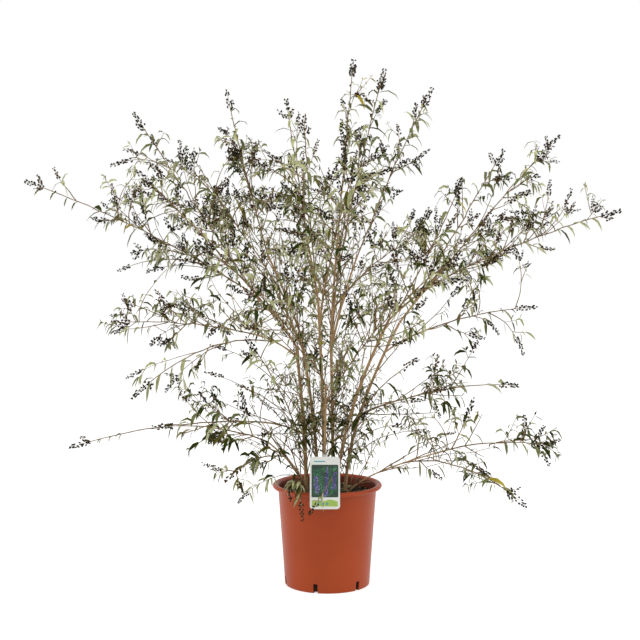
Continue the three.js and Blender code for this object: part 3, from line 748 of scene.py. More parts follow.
class Limb(Mass):
    """Thin shoots straight from the stems and boughs, within the reach of the masses round them."""

    leafy, leaf_size, shooty = 0.3, 0.62, 0.55
    splay, rise, shrinks = (10, 46), (0.1, 0.6), (1, 0.65, 0.4)

    def near(self, point):
        by_limb = np.linalg.norm(LIMB_KNOTS - point, axis=1).min() < REACH["limb"]
        return in_crown(point, REACH["mass"]) or bool(by_limb)

    def grow(self):
        rng, limb = self.rng, limbs[self.name]
        curve, stem = limb["curve"], limb["host"] is None
        count = max(2, round(curve.length() / FINE["limb_node"]))
        first = rng.uniform(0, math.pi)
        for i in range(count):
            t = lerp(0.08 if stem else 0.04, 0.97, (i + rng.uniform(0.2, 0.8)) / count)
            for turn in both(first, i):
                turn += rng.normal(0, 0.4)
                if rng.random() < limb["bushy"]:
                    size = rng.uniform(90, 260) * lerp(1.25, 0.7, t)
                    self.lateral(curve, t, turn, size)
                elif stem and t < 0.45 and rng.random() < 0.7:
                    self.leaf_size = 1.1
                    self.short_shoot(curve, t, turn, rng.uniform(45, 110))
                    self.leaf_size = Limb.leaf_size

    def hang(self, at, middle, tip):
        """A twig set at given points, with its leaves and seed head."""
        self.leafy, self.leaf_size, self.shooty = 0.95, 1.0, 0
        self.near = lambda point: True
        twig = Curve(limbs[self.name]["curve"].at(at), middle, tip)
        size = twig.length()
        bare = 1 - 42 / size
        shoots.append((wander(twig, 0, bare, *WANDER["hung"], self.rng), 1.5, 0.8))
        self.head_along(twig, bare, HEADS["hung"])
        self.nodes("hung", twig, size, 0.35, bare)


# ---- meshes
def new_mesh(name, points, faces, materials, kinds=None, smooth=True):
    """points in mm; faces all triangles or all quads; kinds gives each face's material."""
    mesh = bpy.data.meshes.new(name)
    faces = np.asarray(faces)
    mesh.vertices.add(len(points))
    mesh.vertices.foreach_set("co", (np.asarray(points, float) / 1000).ravel())
    mesh.loops.add(faces.size)
    mesh.loops.foreach_set("vertex_index", faces.ravel().astype(np.int32))
    mesh.polygons.add(len(faces))
    mesh.polygons.foreach_set("loop_start", np.arange(0, faces.size, faces.shape[1], dtype=np.int32))
    if kinds is not None:
        mesh.polygons.foreach_set("material_index", np.asarray(kinds, np.int32))
    mesh.polygons.foreach_set("use_smooth", np.full(len(faces), smooth))
    for material in materials:
        mesh.materials.append(material)
    mesh.update(calc_edges=True)
    mesh.validate()
    piece = bpy.data.objects.new(name, mesh)
    bpy.context.scene.collection.objects.link(piece)
    return piece


class Stack:
    """Gathers parts of a mesh that will be one piece."""

    def __init__(self):
        self.points, self.faces, self.kinds, self.count = [], [], [], 0

    def add(self, points, faces, kinds=0):
        self.points.append(points)
        self.faces.append(np.asarray(faces) + self.count)
        self.kinds.append(np.broadcast_to(kinds, len(faces)))
        self.count += len(points)

    def piece(self, name, materials, smooth=True):
        return new_mesh(name, np.vstack(self.points), np.vstack(self.faces), materials,
                        np.concatenate(self.kinds), smooth)


def ring_faces(rings, sides):
    """Quads between rings of points, wound to face out."""
    i, j = np.meshgrid(np.arange(rings - 1), np.arange(sides), indexing="ij")
    k = (j + 1) % sides
    corners = [i * sides + j, i * sides + k, (i + 1) * sides + k, (i + 1) * sides + j]
    return np.stack(corners, -1).reshape(-1, 4)


def hoop_faces(rings, sides):
    """Quads between rings, and between the last ring and the first."""
    return ring_faces(rings + 1, sides) % (rings * sides)


def ring(r, z, sides):
    """Points round the Z axis, from the front."""
    turn = circle(sides)
    return np.column_stack([r * np.sin(turn), -r * np.cos(turn), np.full(sides, float(z))])


def tube(points, radii, sides, bumps=0):
    """A closed tube along points: quads, with a fan of quads at each end."""
    n = len(points)
    axis = unit(np.gradient(points, axis=0))
    across = sideways(np.cross(points[n // 2] - points[0], points[-1] - points[0]), axis[n // 2], 1e-3)
    u = unit(across - axis * (axis @ across)[:, None])
    v = np.cross(axis, u)
    turn = circle(sides)
    out = u[:, None] * np.cos(turn)[None, :, None] + v[:, None] * np.sin(turn)[None, :, None]
    r = np.broadcast_to(np.asarray(radii, float)[:, None], (n, sides)) + bumps
    rings = points[:, None] + out * r[:, :, None]
    shell = np.vstack([rings.reshape(-1, 3), points[:1], points[-1:]])
    faces = [ring_faces(n, sides)]
    for centre, start, flip in ((n * sides, 0, True), (n * sides + 1, (n - 1) * sides, False)):
        a = start + np.arange(0, sides, 2)
        b, c = start + (np.arange(0, sides, 2) + 1) % sides, start + (np.arange(0, sides, 2) + 2) % sides
        fan = np.stack([np.full(len(a), centre), a, b, c], -1)
        faces.append(fan[:, ::-1] if flip else fan)
    return shell, np.vstack(faces)


# ---- materials
def srgb(r, g, b):
    """A colour as it is to look in the light of this scene."""
    return tuple(((c / 255 + 0.055) / 1.055) ** 2.4 / BRIGHT for c in (r, g, b)) + (1,)


def material(name, roughness, scale, spread=(0.35, 0.65), bump=0.15, distance=0.0004, stretch=None,
             specular=0.5):
    """A principled shader whose colour wanders between its two tones, with a fine grain."""
    made = bpy.data.materials.new(name)
    made.use_nodes = True
    nodes, link = made.node_tree.nodes, made.node_tree.links.new

    def add(kind, **values):
        node = nodes.new("ShaderNode" + kind)
        for slot, value in values.items():
            node.inputs[slot].default_value = value
        return node

    shader, place = nodes["Principled BSDF"], add("TexCoord")
    shader.inputs["Roughness"].default_value = roughness
    shader.inputs["Specular IOR Level"].default_value = specular
    source = place.outputs["Object"]
    if stretch:
        mapping = add("Mapping", Scale=stretch)
        link(place.outputs["UV"], mapping.inputs["Vector"])
        source = mapping.outputs["Vector"]
    noise, ramp = add("TexNoise", Scale=scale, Detail=6), add("ValToRGB")
    tones = COLOURS[name][:3], COLOURS[name][3:]
    for stop, position, tone in zip(ramp.color_ramp.elements, spread, tones):
        stop.position, stop.color = position, srgb(*tone)
    link(source, noise.inputs["Vector"])
    link(noise.outputs["Fac"], ramp.inputs["Fac"])
    link(ramp.outputs["Color"], shader.inputs["Base Color"])
    if bump:
        grain = add("TexNoise", Scale=scale * 6, Detail=3)
        raised = add("Bump", Strength=bump, Distance=distance)
        link(source, grain.inputs["Vector"])
        link(grain.outputs["Fac"], raised.inputs["Height"])
        link(raised.outputs["Normal"], shader.inputs["Normal"])
    return made


def family(start, end, *looks, **more):
    """The materials of all colours whose names start and end so."""
    names = [name for name in COLOURS if name.startswith(start) and name.endswith(end)]
    return [material(name, *looks, **more) for name in names]


# ---- limbs with bark
def limb_bumps(n, sides, radius, rng):
    """Long ridges that split and join, and a fine grain."""
    along = np.linspace(0, 1, n)[:, None]
    waves = zip((2, 3, 5, 8), (0.05, 0.045, 0.035, 0.03), rng.uniform(0, 6, 4), rng.uniform(-1, 1, 4))
    ridge = sum(a * np.sin(k * circle(sides) + p + q * along * 6) for k, a, p, q in waves)
    return (ridge + rng.normal(0, 0.018, (n, sides))) * radius


def dress_limbs(names, title, sides, bark):
    """Limbs with swollen nodes, a flare at a stem's foot, and the bark's grain laid along them."""
    stack, uvs = Stack(), []
    for index, name in enumerate(names):
        limb = limbs[name]
        rng = np.random.default_rng(SEEDS["bark"] + index + sides)
        curve, foot, tip = limb["curve"], limb["foot"], limb["tip"]
        length = curve.length()
        start = 0.8 * limb["host"]["tip"] / length if limb["at"] == 1 else 0
        n = int(length / BARK_STEP) + 2
        t = np.linspace(start, 1, n)
        radii = lerp(foot, tip, t) * limb["dressed"]
        if limb["host"] is None:
            radii *= 1 + (STEM["flare"] - 1) * np.exp(-t / STEM["flare_share"] * 1.6)
        for spot in np.arange(rng.uniform(30, 60), length, rng.uniform(48, 70)):
            radii *= 1 + 0.13 * np.exp(-(((t * length - spot) / 3.5) ** 2))
        stack.add(*tube(curve.at(t), radii, sides, limb_bumps(n, sides, foot, rng)))
        around = np.tile(np.arange(sides) / sides, n)
        uvs.append(np.column_stack([around, np.repeat(t * length / 1000, sides)]))
        uvs.append(np.array([[0.5, 0.0], [0.5, length / 1000]]))
    piece = stack.piece(title, [bark])
    corners = np.zeros(len(piece.data.loops), np.int32)
    piece.data.loops.foreach_get("vertex_index", corners)
    piece.data.uv_layers.new(name="bark").data.foreach_set("uv", np.vstack(uvs)[corners].ravel())
    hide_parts(*names)
    return piece


# ---- twigs, leaves and seed heads
def dress_twigs(some, title, bark):
    """Thin tubes, a little thicker at their nodes."""
    stack = Stack()
    for points, foot, tip in some:
        radii = np.linspace(foot, tip, len(points))
        radii[2:-1:3] *= 1.16
        stack.add(*tube(points, radii, 6 if foot > 1.6 else 4))
    return stack.piece(title, [bark])


def leaf_meshes(rows, blade, title, materials):
    """Blades of two faces each: the upper one in the kind's own colour, the lower one felted."""
    base, way, axis = rows[:, 0:3], rows[:, 3:6], rows[:, 6:9]
    length, width, droop, kind, roll = rows[:, 9:14].T
    at, outline = (np.array(each, float) for each in BLADES[blade][:2])
    m, n = len(at), len(rows)
    mid = (at[1:] + at[:-1]) / 2
    bend = way[:, None] - UP * (droop[:, None] * mid ** 1.2)[:, :, None]
    steps = unit(bend) * (np.diff(at)[None] * length[:, None])[:, :, None]
    spine = np.concatenate([base[:, None], base[:, None] + np.cumsum(steps, axis=1)], axis=1)
    ahead = unit(np.gradient(spine, axis=1))
    side = np.cross(way, axis)
    side = unit(side + unit(np.cross(way, side)) * np.tan(np.clip(roll, -1, 1))[:, None])
    side = unit(side[:, None] - ahead * (ahead * side[:, None]).sum(-1, keepdims=True))
    face = np.cross(side, ahead)
    turned = np.sign((face * (axis[:, None] + UP)).sum(-1).mean(1))[:, None, None]
    face, side = face * turned, side * turned
    half = (outline[None] * width[:, None] / 2)[:, :, None]
    thick = 0.12 * np.minimum(1, half)
    one = 3 * (m - 2) + 2
    points = np.zeros((n, 2 * one, 3))
    for o, lift in ((0, 1), (one, -1)):
        points[:, o], points[:, o + one - 1] = spine[:, 0], spine[:, -1]
        for k, across in enumerate((-1, 0, 1)):
            row = spine + side * half * across + face * (half * 0.35 * abs(across) + thick * lift)
            points[:, o + 1 + k : o + one - 1 : 3] = row[:, 1:-1]
    faces = [(0, 1, 2), (0, 2, 3), (one - 1, one - 3, one - 4), (one - 1, one - 2, one - 3)]
    for a in range(1, one - 4, 3):
        for b in (a, a + 1):
            faces += [(b, b + 4, b + 1), (b, b + 3, b + 4)]
    top = np.array(faces)
    index = np.vstack([top[:, ::-1], top + one])[None] + (np.arange(n) * 2 * one)[:, None, None]
    shade = np.repeat(np.stack([kind, kind + len(DEAL)], 1), len(top), axis=1)
    return new_mesh(title, points.reshape(-1, 3), index.reshape(-1, 3), materials, shade.ravel())


def capsule_shape():
    """A slim pod of six faces, pointing along +Z, one long."""
    points = [(0, 0, 0), *((math.cos(a) * 0.33, math.sin(a) * 0.33, 0.5) for a in circle(3)), (0, 0, 1)]
    faces = [(0, 1 + (i + 1) % 3, 1 + i) for i in range(3)] + [(4, 1 + i, 1 + (i + 1) % 3) for i in range(3)]
    return np.array(points), np.array(faces)


def dress_heads(some, title, materials, seed):
    """Capsules in opposite clusters along each head, larger below, with gaps between the whorls."""
    rng = np.random.default_rng(seed)
    pod, pod_faces = capsule_shape()
    places, ways, sizes, kinds = [], [], [], []
    for points, radius, shade in some:
        length = np.linalg.norm(np.diff(points, axis=0), axis=1).sum()
        whorls = max(3, int(length / 5.6))
        at = np.clip(np.linspace(0.04, 0.97, whorls) + rng.normal(0, 0.025, whorls), 0, 1)
        spot = np.stack([np.interp(at, np.linspace(0, 1, len(points)), points[:, k]) for k in range(3)], 1)
        axis = unit(points[-1] - points[0])
        u = unit(np.cross(axis, UP if abs(axis[2]) < 0.9 else EAST))
        v = np.cross(axis, u)
        first = rng.uniform(0, math.pi)
        for i in range(whorls):
            reach = radius * (1.1 - 0.5 * at[i] ** 2) * rng.uniform(0.85, 1.15)
            for turn in both(first, i):
                if rng.random() < 0.06:
                    continue
                turn += rng.normal(0, 0.5)
                arm = unit(u * math.cos(turn) + v * math.sin(turn) + axis * 0.3)
                knot = spot[i] + arm * reach * 0.55
                for _ in range(max(3, round(reach * 0.85))):
                    spin = unit(arm * 0.7 + rng.normal(0, 0.8, 3) + axis * 0.3)
                    size = min(reach * 0.9, rng.uniform(5.0, 7.4))
                    places.append(knot + axis * rng.normal(0, 1.0) - spin * size * 0.35)
                    ways.append(spin)
                    sizes.append(size)
                    kinds.append(int(rng.random() < 0.4) + 2 * int(shade > 0.75))
    ways, places, sizes = np.array(ways), np.array(places), np.array(sizes)
    u = unit(np.cross(ways, UP) + 1e-6)
    v = np.cross(ways, u)
    body = sum(pod[None, :, k : k + 1] * axis[:, None] for k, axis in enumerate((u, v, ways)))
    points = places[:, None] + body * sizes[:, None, None]
    faces = pod_faces[None] + (np.arange(len(places)) * len(pod))[:, None, None]
    shades = np.repeat(np.array(kinds), len(pod_faces))
    return new_mesh(title, points.reshape(-1, 3), faces.reshape(-1, 3), materials, shades)


# ---- pot and soil
def wall_outside(z):
    return lerp(POT["foot"], POT["wall_top"], z / (POT["height"] - POT["lip_height"]))


def revolve(name, profile, sides, materials, second):
    """A closed profile turned round the Z axis; from the second point on it has the second material."""
    points = np.vstack([ring(r, z, sides) for r, z in profile])
    faces = hoop_faces(len(profile), sides)
    return new_mesh(name, points, faces, materials, np.arange(len(faces)) >= second * sides)


def make_pot(shell, shade):
    """The pot's profile from the foot, over the rolled lip, down the ribbed inside and along the floor."""
    height, lip, wall, floor = POT["height"], POT["lip"], POT["wall"], POT["floor"]
    under = height - POT["lip_height"]
    profile = [(6, 0.0), (60, 0.0), (wall_outside(0) - 5, 0.0), (wall_outside(0) - 2.2, 0.3),
               (wall_outside(2) - 0.6, 1.2), (wall_outside(4), 3.4)]
    profile += [(wall_outside(z), z) for z in np.linspace(8, under - 8, 26)]
    profile += [(wall_outside(under) - 0.2, under - 3), (wall_outside(under) + 1.2, under - 0.4)]
    centre, rise = lip - 6.3, height - 6.4
    profile += [(lip - 11.5, under - 0.2), (lip - 7, under + 0.1)]
    round_lip = np.radians(np.linspace(-62, 118, 13))
    profile += [(centre + 6.2 * math.cos(a), rise + 6.2 * math.sin(a)) for a in round_lip]

    def inner(z):
        return wall_outside(z) - wall

    profile += [(inner(height) + 3.4, height - 2.4), (inner(height) + 0.4, height - 6)]
    for z in np.linspace(height - 12, SOIL["top"] - 14, 12):
        rib = 0.45 if int(round(z / 4.2)) % 2 else 0
        profile.append((inner(z) - rib, z))
    profile += [(inner(z), z) for z in np.linspace(SOIL["top"] - 40, floor + 6, 5)]
    profile += [(inner(floor) - 3, floor), (60, floor), (6, floor)]
    # from just below the lip's inner edge, the inside wall and floor take the second, darker material:
    # painted shade inside the pot
    rim = next(i for i, (r, z) in enumerate(profile) if i > 40 and r < inner(height) + 1 and z < height - 5)
    pot = revolve("pot_shell", profile, 176, [shell, shade], rim)
    face_out(pot.data)
    for i in range(POT["slots"]):
        cut_slot(pot, math.radians(POT["slot_turn"] + 360 * i / POT["slots"]))
    return pot


def face_out(mesh):
    work = bmesh.new()
    work.from_mesh(mesh)
    bmesh.ops.recalc_face_normals(work, faces=work.faces)
    work.to_mesh(mesh)
    work.free()


def cut_slot(pot, angle):
    """A drain slot with a rounded top, cut through wall and floor."""
    w, h, reach = POT["slot_width"] / 2, POT["slot_height"], POT["slot_reach"]
    half = [(w, -6), (w, h - 2), (w - 0.6, h - 0.6), (w - 2, h)]
    outline = [(-w, -6), *half, (2 - w, h), (0.6 - w, h - 0.6), (-w, h - 2)]
    near, far = POT["foot"] - reach, POT["foot"] + 14
    side = np.array([math.cos(angle), math.sin(angle), 0])
    out = np.array([math.sin(angle), -math.cos(angle), 0])
    rings = [[side * x + out * d + UP * z for x, z in outline] for d in (near, far)]
    n = len(outline)
    faces = [tuple(range(n)), tuple(range(2 * n - 1, n - 1, -1))]
    faces += [((i + 1) % n, i, i + n, (i + 1) % n + n) for i in range(n)]
    mesh = bpy.data.meshes.new("slot_cutter")
    mesh.from_pydata([tuple(np.array(p) / 1000) for each in rings for p in each], [], faces)
    face_out(mesh)
    cutter = bpy.data.objects.new("slot_cutter", mesh)
    bpy.context.scene.collection.objects.link(cutter)
    modifier = pot.modifiers.new("slot", "BOOLEAN")
    modifier.operation, modifier.solver, modifier.object = "DIFFERENCE", "EXACT", cutter
    bpy.context.view_layer.objects.active = pot
    bpy.ops.object.modifier_apply(modifier=modifier.name)
    bpy.data.objects.remove(cutter)


def make_soil(earth, chips):
    """A lumpy bed that fills the pot, with bits of bark on it."""
    rng = np.random.default_rng(SEEDS["soil"])
    waves = [(rng.uniform(0.02, 0.22, 2) * rng.choice([-1, 1], 2), rng.uniform(0, 6)) for _ in range(40)]

    def lump(x, y):
        return sum(np.sin(x * k[0] + y * k[1] + p) for k, p in waves) / 7

    edge = wall_outside(SOIL["top"] - SOIL["rim_drop"]) - POT["wall"] - 1.2
    radii = np.concatenate([np.linspace(0.5, edge - 1.5, 62), [edge]])
    turn = circle(SOIL["sides"])
    x, y = np.outer(radii, np.sin(turn)), -np.outer(radii, np.cos(turn))
    fall = np.clip((radii - SOIL["level"]) / (edge - SOIL["level"]), 0, 1)[:, None] ** 1.5 * SOIL["rim_drop"]
    z = SOIL["dressed"] - 2.2 - fall + lump(x, y) * 1.6 + rng.normal(0, 0.45, x.shape)
    rings = [np.stack([x, y, z], -1).reshape(-1, 3)]
    bottom = POT["floor"] + 0.6
    below = [(wall_outside(level) - POT["wall"] - 1.2, level) for level in (180, 120, 60, 30, bottom)]
    rings += [ring(r, level, SOIL["sides"]) for r, level in [*below, (0.5, bottom)]]
    faces = ring_faces(len(radii) + len(below) + 1, SOIL["sides"])[:, ::-1]
    bed = new_mesh("potting_soil", np.vstack(rings), faces, [earth])
    stack = Stack()
    for _ in range(SOIL["bits"]):
        r, a = edge * math.sqrt(rng.random()) * 0.97, rng.uniform(0, 2 * math.pi)
        size = np.array([rng.uniform(1.8, 7.5), rng.uniform(0.8, 2.8), rng.uniform(0.3, 1.0)])
        spin, tilt = rng.uniform(0, 6.28), rng.normal(0, 0.3, 2)
        shape = BOX * size * (1 + rng.normal(0, 0.18, (8, 3)))
        c, s = math.cos(spin), math.sin(spin)
        u, v = shape[:, 0] * c - shape[:, 1] * s, shape[:, 0] * s + shape[:, 1] * c
        shape = np.column_stack([u, v, shape[:, 2] + (u * tilt[0] + v * tilt[1])])
        px, py = r * math.sin(a), -r * math.cos(a)
        down = max(0, (r - SOIL["level"]) / (edge - SOIL["level"])) ** 1.5 * SOIL["rim_drop"]
        height = SOIL["dressed"] - 2.0 - down + lump(px, py) * 1.6 + 0.4
        stack.add(shape + [px, py, height], BOX_SIDES, rng.choice(3, p=[0.38, 0.34, 0.28]))
    bits = stack.piece("bark_bits", chips, smooth=False)
    return bed, bits


# ---- label
def card_point(u, v, lift):
    """A point on the leaning card: u across, v up, lift out of its front."""
    lean = math.radians(LABEL["lean"])
    back = -POT["lip"] - GAP - (POT["height"] - LABEL["bottom"]) * math.tan(lean) - 0.6
    up = np.array([0, math.sin(lean), math.cos(lean)])
    front = np.array([0, -math.cos(lean), math.sin(lean)])
    return np.array([LABEL["x"], back, LABEL["bottom"]]) + EAST * u + up * v + front * lift


def rounded(width, height, r, x=0.0, y=0.0, steps=6):
    """The outline of a rounded rectangle whose lower middle is at x, y."""
    out = []
    for cx, cy, a0 in ((width / 2 - r, r, -90), (width / 2 - r, height - r, 0),
                       (r - width / 2, height - r, 90), (r - width / 2, r, 180)):
        for k in range(steps + 1):
            a = math.radians(a0 + 90 * k / steps)
            out.append((x + cx + r * math.cos(a), y + cy + r * math.sin(a)))
    return out


def plate(stack, outline, low, high, kind):
    """A flat shape on the card, from one lift to another, as triangles round its middle."""
    n = len(outline)
    middle = np.mean(outline, axis=0)
    points = [card_point(u, v, high) for u, v in outline] + [card_point(u, v, low) for u, v in outline]
    points += [card_point(*middle, high), card_point(*middle, low)]
    faces = []
    for i in range(n):
        j = (i + 1) % n
        faces += [(2 * n, i, j), (2 * n + 1, n + j, n + i), (i, n + i, j), (j, n + i, n + j)]
    stack.add(np.array(points), faces, kind)


def petal(x, y, length, width, angle, steps=7):
    """A slim leaf shape from x, y."""
    t = np.linspace(0, 1, steps)
    half = np.sin(t * math.pi) ** 0.8 * width / 2
    c, s = math.cos(angle), math.sin(angle)
    right, left = [[(x + c * a * length + s * h, y + s * a * length - c * h) for a, h in zip(t, side * half)]
                   for side in (1, -1)]
    return right + left[-2:0:-1]


def make_label():
    """A plain white card with a made-up garden picture: each colour is a thin plate on the last."""
    rng = np.random.default_rng(SEEDS["card"])
    deep_green, leaf, violet, lime, teal, lilac = range(1, 7)
    width = LABEL["width"]
    face = LABEL["thick"] * 0.8
    low, middle, high, top = face, face + 0.04, face + 0.06, face + 0.09
    stack = Stack()
    plate(stack, rounded(width, LABEL["height"], LABEL["corner"]), 0.1, face, 0)
    wave = [(x, 22 + 3.2 * math.sin(x / 9)) for x in np.linspace(34, -34, 30)]
    plate(stack, [(-34, 7), (34, 7), *wave], low, middle, lime)
    for x, size in ((-20, 5.5), (-6, 4.2), (6, 3.2)):
        dot = [(x + size * math.cos(a), 14 + size * math.sin(a)) for a in np.linspace(0, 6, 20)]
        plate(stack, dot, middle, high, teal)
    plate(stack, rounded(width - 9, 86, 3, 0, 31, 3), low, middle, deep_green)
    plate(stack, rounded(30, 3, 1.4, -14, 124, 3), low, middle, teal)
    for x, y in zip(rng.uniform(-29, 29, 70), rng.uniform(35, 104, 70)):
        a, size = rng.uniform(0.3, 2.8), rng.uniform(12, 24)
        x = min(max(x, -32 - min(0, size * math.cos(a))), 32 - max(0, size * math.cos(a)))
        plate(stack, petal(x, min(y, 115 - size), size, rng.uniform(2.5, 5), a), middle, high, leaf)
    for x0, y0, size, tilt in ((-20, 42, 44, 0.1), (2, 34, 74, -0.05), (22, 52, 46, -0.14)):
        for t in np.arange(90) / 90:
            x = x0 - math.sin(tilt) * size * t + rng.normal(0, 0.55) * (1 - t) ** 0.7 * 6
            y = y0 + size * t + rng.normal(0, 1.0)
            kind = lilac if rng.random() < 0.3 else violet
            plate(stack, petal(x, y, 3.8, 2.8, rng.uniform(0, 6.28), 5), high, top, kind)
    return stack


def make_strap(stack):
    """The tongue and the loop, in the same piece as the card."""
    lean = math.radians(LABEL["lean"])
    front = limbs["stem_front"]
    top = LABEL["bottom"] + LABEL["height"] * math.cos(lean) - 5
    t = np.linspace(0, 1, 2001)
    stem = front["curve"].at(t[np.argmin(abs(front["curve"].at(t)[:, 2] - top))])
    radius = lerp(front["foot"], front["tip"], 0.3) + LABEL["loop_clear"]
    outer, sides = radius + LABEL["strap_thick"], 48
    turn, middle = circle(sides), np.array([stem[0], stem[1], 0])
    rings = [middle + np.column_stack([r * np.cos(turn), r * np.sin(turn), np.full(sides, top + z)])
             for r, z in ((radius, 0), (outer, 0), (outer, 3), (radius, 3))]
    quads = hoop_faces(len(rings), sides)
    stack.add(np.vstack(rings), np.vstack([quads[:, :3], quads[:, [0, 2, 3]]]), 0)
    card = card_point(0, (top - LABEL["bottom"]) / math.cos(lean), 0.2)
    y0, y1 = card[1], stem[1] - radius - LABEL["strap_thick"] * 0.5
    xs, half = stem[0], LABEL["strap"] / 2
    corner = [(x, y, z) for x in (xs - half, xs + half) for y in (y0, y1) for z in (top + 0.3, top + 2.7)]
    stack.add(np.array(corner), [f[:3] for f in BOX_SIDES] + [(f[0], f[2], f[3]) for f in BOX_SIDES], 0)


# ---- grow everything, first just as in the source
grow_limbs()
raise_spines()
KNOTS = np.vstack([spine["curve"].at(np.linspace(0, 1, 9)) for spine in spines.values()])
LIMB_KNOTS = np.vstack([limb["curve"].at(np.linspace(0, 1, 9)) for limb in limbs.values()])
REACHES = np.array([spine["spread"] for spine in spines.values()])
ORDER = {name: i for i, name in enumerate(spines)}
SOLID_LIMBS = standing.count
plan = [(name, grow_mass(name, SEED + i)) for i, name in enumerate(MASSES)]
for i, (name, twigs) in enumerate(plan):
    Mass(name, SEEDS["mass"] + i).grow(twigs)
for i, name in enumerate(limbs):
    Limb(name, SEEDS["limb"] + i).grow()

# twigs that fill gaps grow from the place on a limb or spine that suits their tip best
hosts = {**limbs, **spines}
places = [(host["curve"], name, t) for name, host in hosts.items() for t in np.linspace(0.1, 0.8, 15)]
starts = np.array([curve.at(t) for curve, _, t in places])
for i, (*middle, radius, count) in enumerate(FILLS):
    rng = np.random.default_rng(SEEDS["fill"] + i)
    for _ in range(int(count)):
        tip = np.array(middle) + rng.normal(0, FILL["scatter"], 3) * radius
        away = np.linalg.norm(starts - tip, axis=1)
        too_high = np.maximum(0, starts[:, 2] - tip[2] + FILL["above"])
        curve, name, t = places[int((abs(away - rng.uniform(*FILL["away"])) + 2 * too_high).argmin())]
        grower = Limb(name, int(rng.integers(1 << 30)))
        grower.leafy, grower.leaf_size, grower.shooty = 0.75, 0.9, 0.9
        grower.reach_out(curve, t, tip, bool(rng.random() < outer_share(tip) * 1.1))

outer = [(name, *twig) for name, row in OUTER_TWIGS.items() for twig in np.reshape(row, (-1, 4))]
for i, (name, share, *tip) in enumerate(outer):
    grower = (Limb if name in limbs else Mass)(name, SEEDS["outer"] + i)
    grower.near = lambda point: in_crown(point, REACH["outer"])
    grower.reach_out(hosts[name]["curve"], share, tip)
for i, (name, *twig) in enumerate(LOW_TWIGS):
    Limb(name, SEEDS["low"] + i).hang(*twig)

# ---- materials of every piece
bark = material("bark", 0.9, 14, (0.3, 0.7), 0.5, 0.0006, (9, 26, 1), 0.1)
twig_bark = material("twig_bark", 0.85, 120, bump=0.3, specular=0.1)
GLOSS = {"sage": 0.15, "grey": 0.15, "olive": 0.1, "green": 0.08, "yellow": 0.2}
blades = [material(f"leaf_{name}_upper", 0.75 if name == "yellow" else 0.8, 90, specular=gloss)
          for name, gloss in GLOSS.items()]
blades += family("leaf_", "_under", 0.9, 90, specular=0.1)
pods = [material(f"pod_{name}", 0.9, 220, specular=gloss)
        for name, gloss in (("dark", 0.03), ("grey", 0.03), ("brown", 0.03), ("tan", 0.05))]
terracotta = material("pot_plastic", 0.38, 5, (0.3, 0.7), 0.05, 0.0002, specular=0.2)
# the pot's plastic made darker for its inside: painted shade
shaded_pot_inside = material("pot_plastic_inside", 0.5, 6, bump=0.05, specular=0.15)
earth = material("potting_mix", 0.95, 160, bump=0.9, distance=0.002, specular=0.15)
chips = family("bit_", "", 0.95, 200, specular=0.15)
inks = [material("card_white", 0.35, 8, bump=0.02), *family("ink_", "", 0.3, 30, bump=0)]


# ---- pieces
def finish_piece(piece, slot, *nodes):
    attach(piece, "root")
    if nodes:
        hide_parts(*nodes)


finish_piece(dress_limbs(list(STEMS), "stems", 18, bark), "bark")
finish_piece(dress_limbs(list(BOUGHS), "boughs", 14, bark), "bark")
for i in range(TWIG_PIECES):
    finish_piece(dress_twigs(shoots[i::TWIG_PIECES], f"twigs_{i + 1}", twig_bark), "foliage", *MASSES)
rows, longest = np.array(leaves), np.inf
for blade, (_, _, triangles, least) in BLADES.items():
    part = rows[(rows[:, 9] >= least) & (rows[:, 9] < longest)]
    longest = least
    for i, some in enumerate(np.array_split(part, math.ceil(len(part) * triangles / MOST_TRIANGLES))):
        finish_piece(leaf_meshes(some, blade, f"{blade}_leaves_{i + 1}", blades), "foliage", *MASSES)
for i in range(HEAD_PIECES):
    piece = dress_heads(heads[i::HEAD_PIECES], f"seed_heads_{i + 1}", pods, SEEDS["head"] + i)
    finish_piece(piece, "foliage", *MASSES)
finish_piece(make_pot(terracotta, shaded_pot_inside), "pot", "pot")
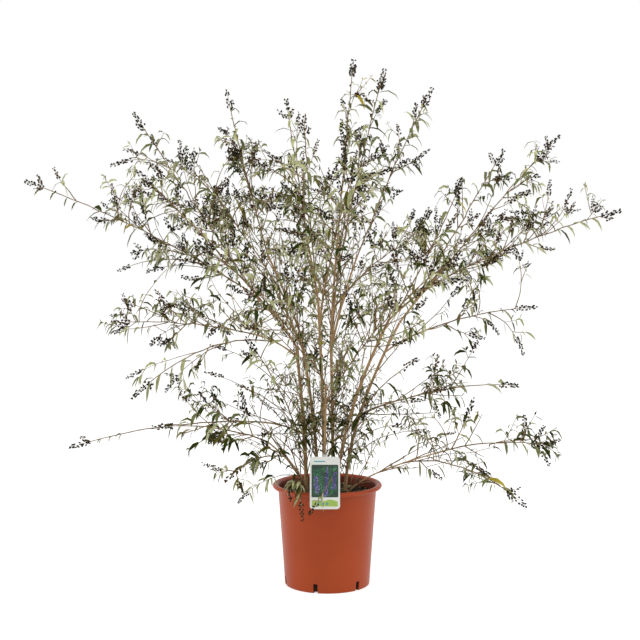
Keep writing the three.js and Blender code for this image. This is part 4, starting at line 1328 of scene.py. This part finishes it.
for piece in make_soil(earth, chips):
    finish_piece(piece, "soil", "soil")
card = make_label()
make_strap(card)
finish_piece(card.piece("plant_label", inks, smooth=False), "label", "label")

# ---- floor, light and camera
scene = bpy.context.scene
scene.view_settings.view_transform = "Standard"
white = material("floor_white", 0.9, 2, bump=0, specular=0.1)
glow = white.node_tree.nodes["Principled BSDF"].inputs
glow["Emission Color"].default_value, glow["Emission Strength"].default_value = (1, 1, 1, 1), 0.62
corners = [(-9000, -7000, 0), (9000, -7000, 0), (9000, 14000, 0), (-9000, 14000, 0)]
floor = new_mesh("floor", corners, [(0, 1, 2, 3)], [white], smooth=False)

scene.world = bpy.data.worlds.new("studio")
scene.world.use_nodes = True
sky = scene.world.node_tree.nodes["Background"].inputs
sky["Color"].default_value, sky["Strength"].default_value = (1, 1, 1, 1), 1.0


def soft_light(name, place, size, watts, target=(0, 0, 0.6)):
    """A softbox turned to the middle of the plant."""
    lamp = bpy.data.lights.new(name, "AREA")
    lamp.shape, lamp.energy = "RECTANGLE", watts
    lamp.size, lamp.size_y = size
    thing = bpy.data.objects.new(name, lamp)
    scene.collection.objects.link(thing)
    thing.location = place
    thing.rotation_mode = "QUATERNION"
    thing.rotation_quaternion = Vector(np.array(target) - place).to_track_quat("-Z", "Y")


soft_light("softbox_left", (-2.6, -0.6, 1.5), (1.4, 2.4), 45)
soft_light("softbox_right", (2.6, -0.6, 1.5), (1.4, 2.4), 45)
soft_light("softbox_top", (0, -0.8, 3.2), (2.6, 2.0), 55)

# the photo's view: a lens that draws 1476 pixels to the unit in a picture 640 wide, its place and its tilt
SENSOR, FOCAL, PICTURE, LOOKS_DOWN = 36, 1476, 640, 4.87
lens = bpy.data.cameras.new("camera")
lens.sensor_width, lens.lens, lens.clip_end = SENSOR, FOCAL * SENSOR / PICTURE, 100
camera = bpy.data.objects.new("camera", lens)
camera.location = (-0.020, -4.000, 1.069)
camera.rotation_euler = (math.radians(90 - LOOKS_DOWN), 0, 0)
scene.collection.objects.link(camera)
scene.camera = camera
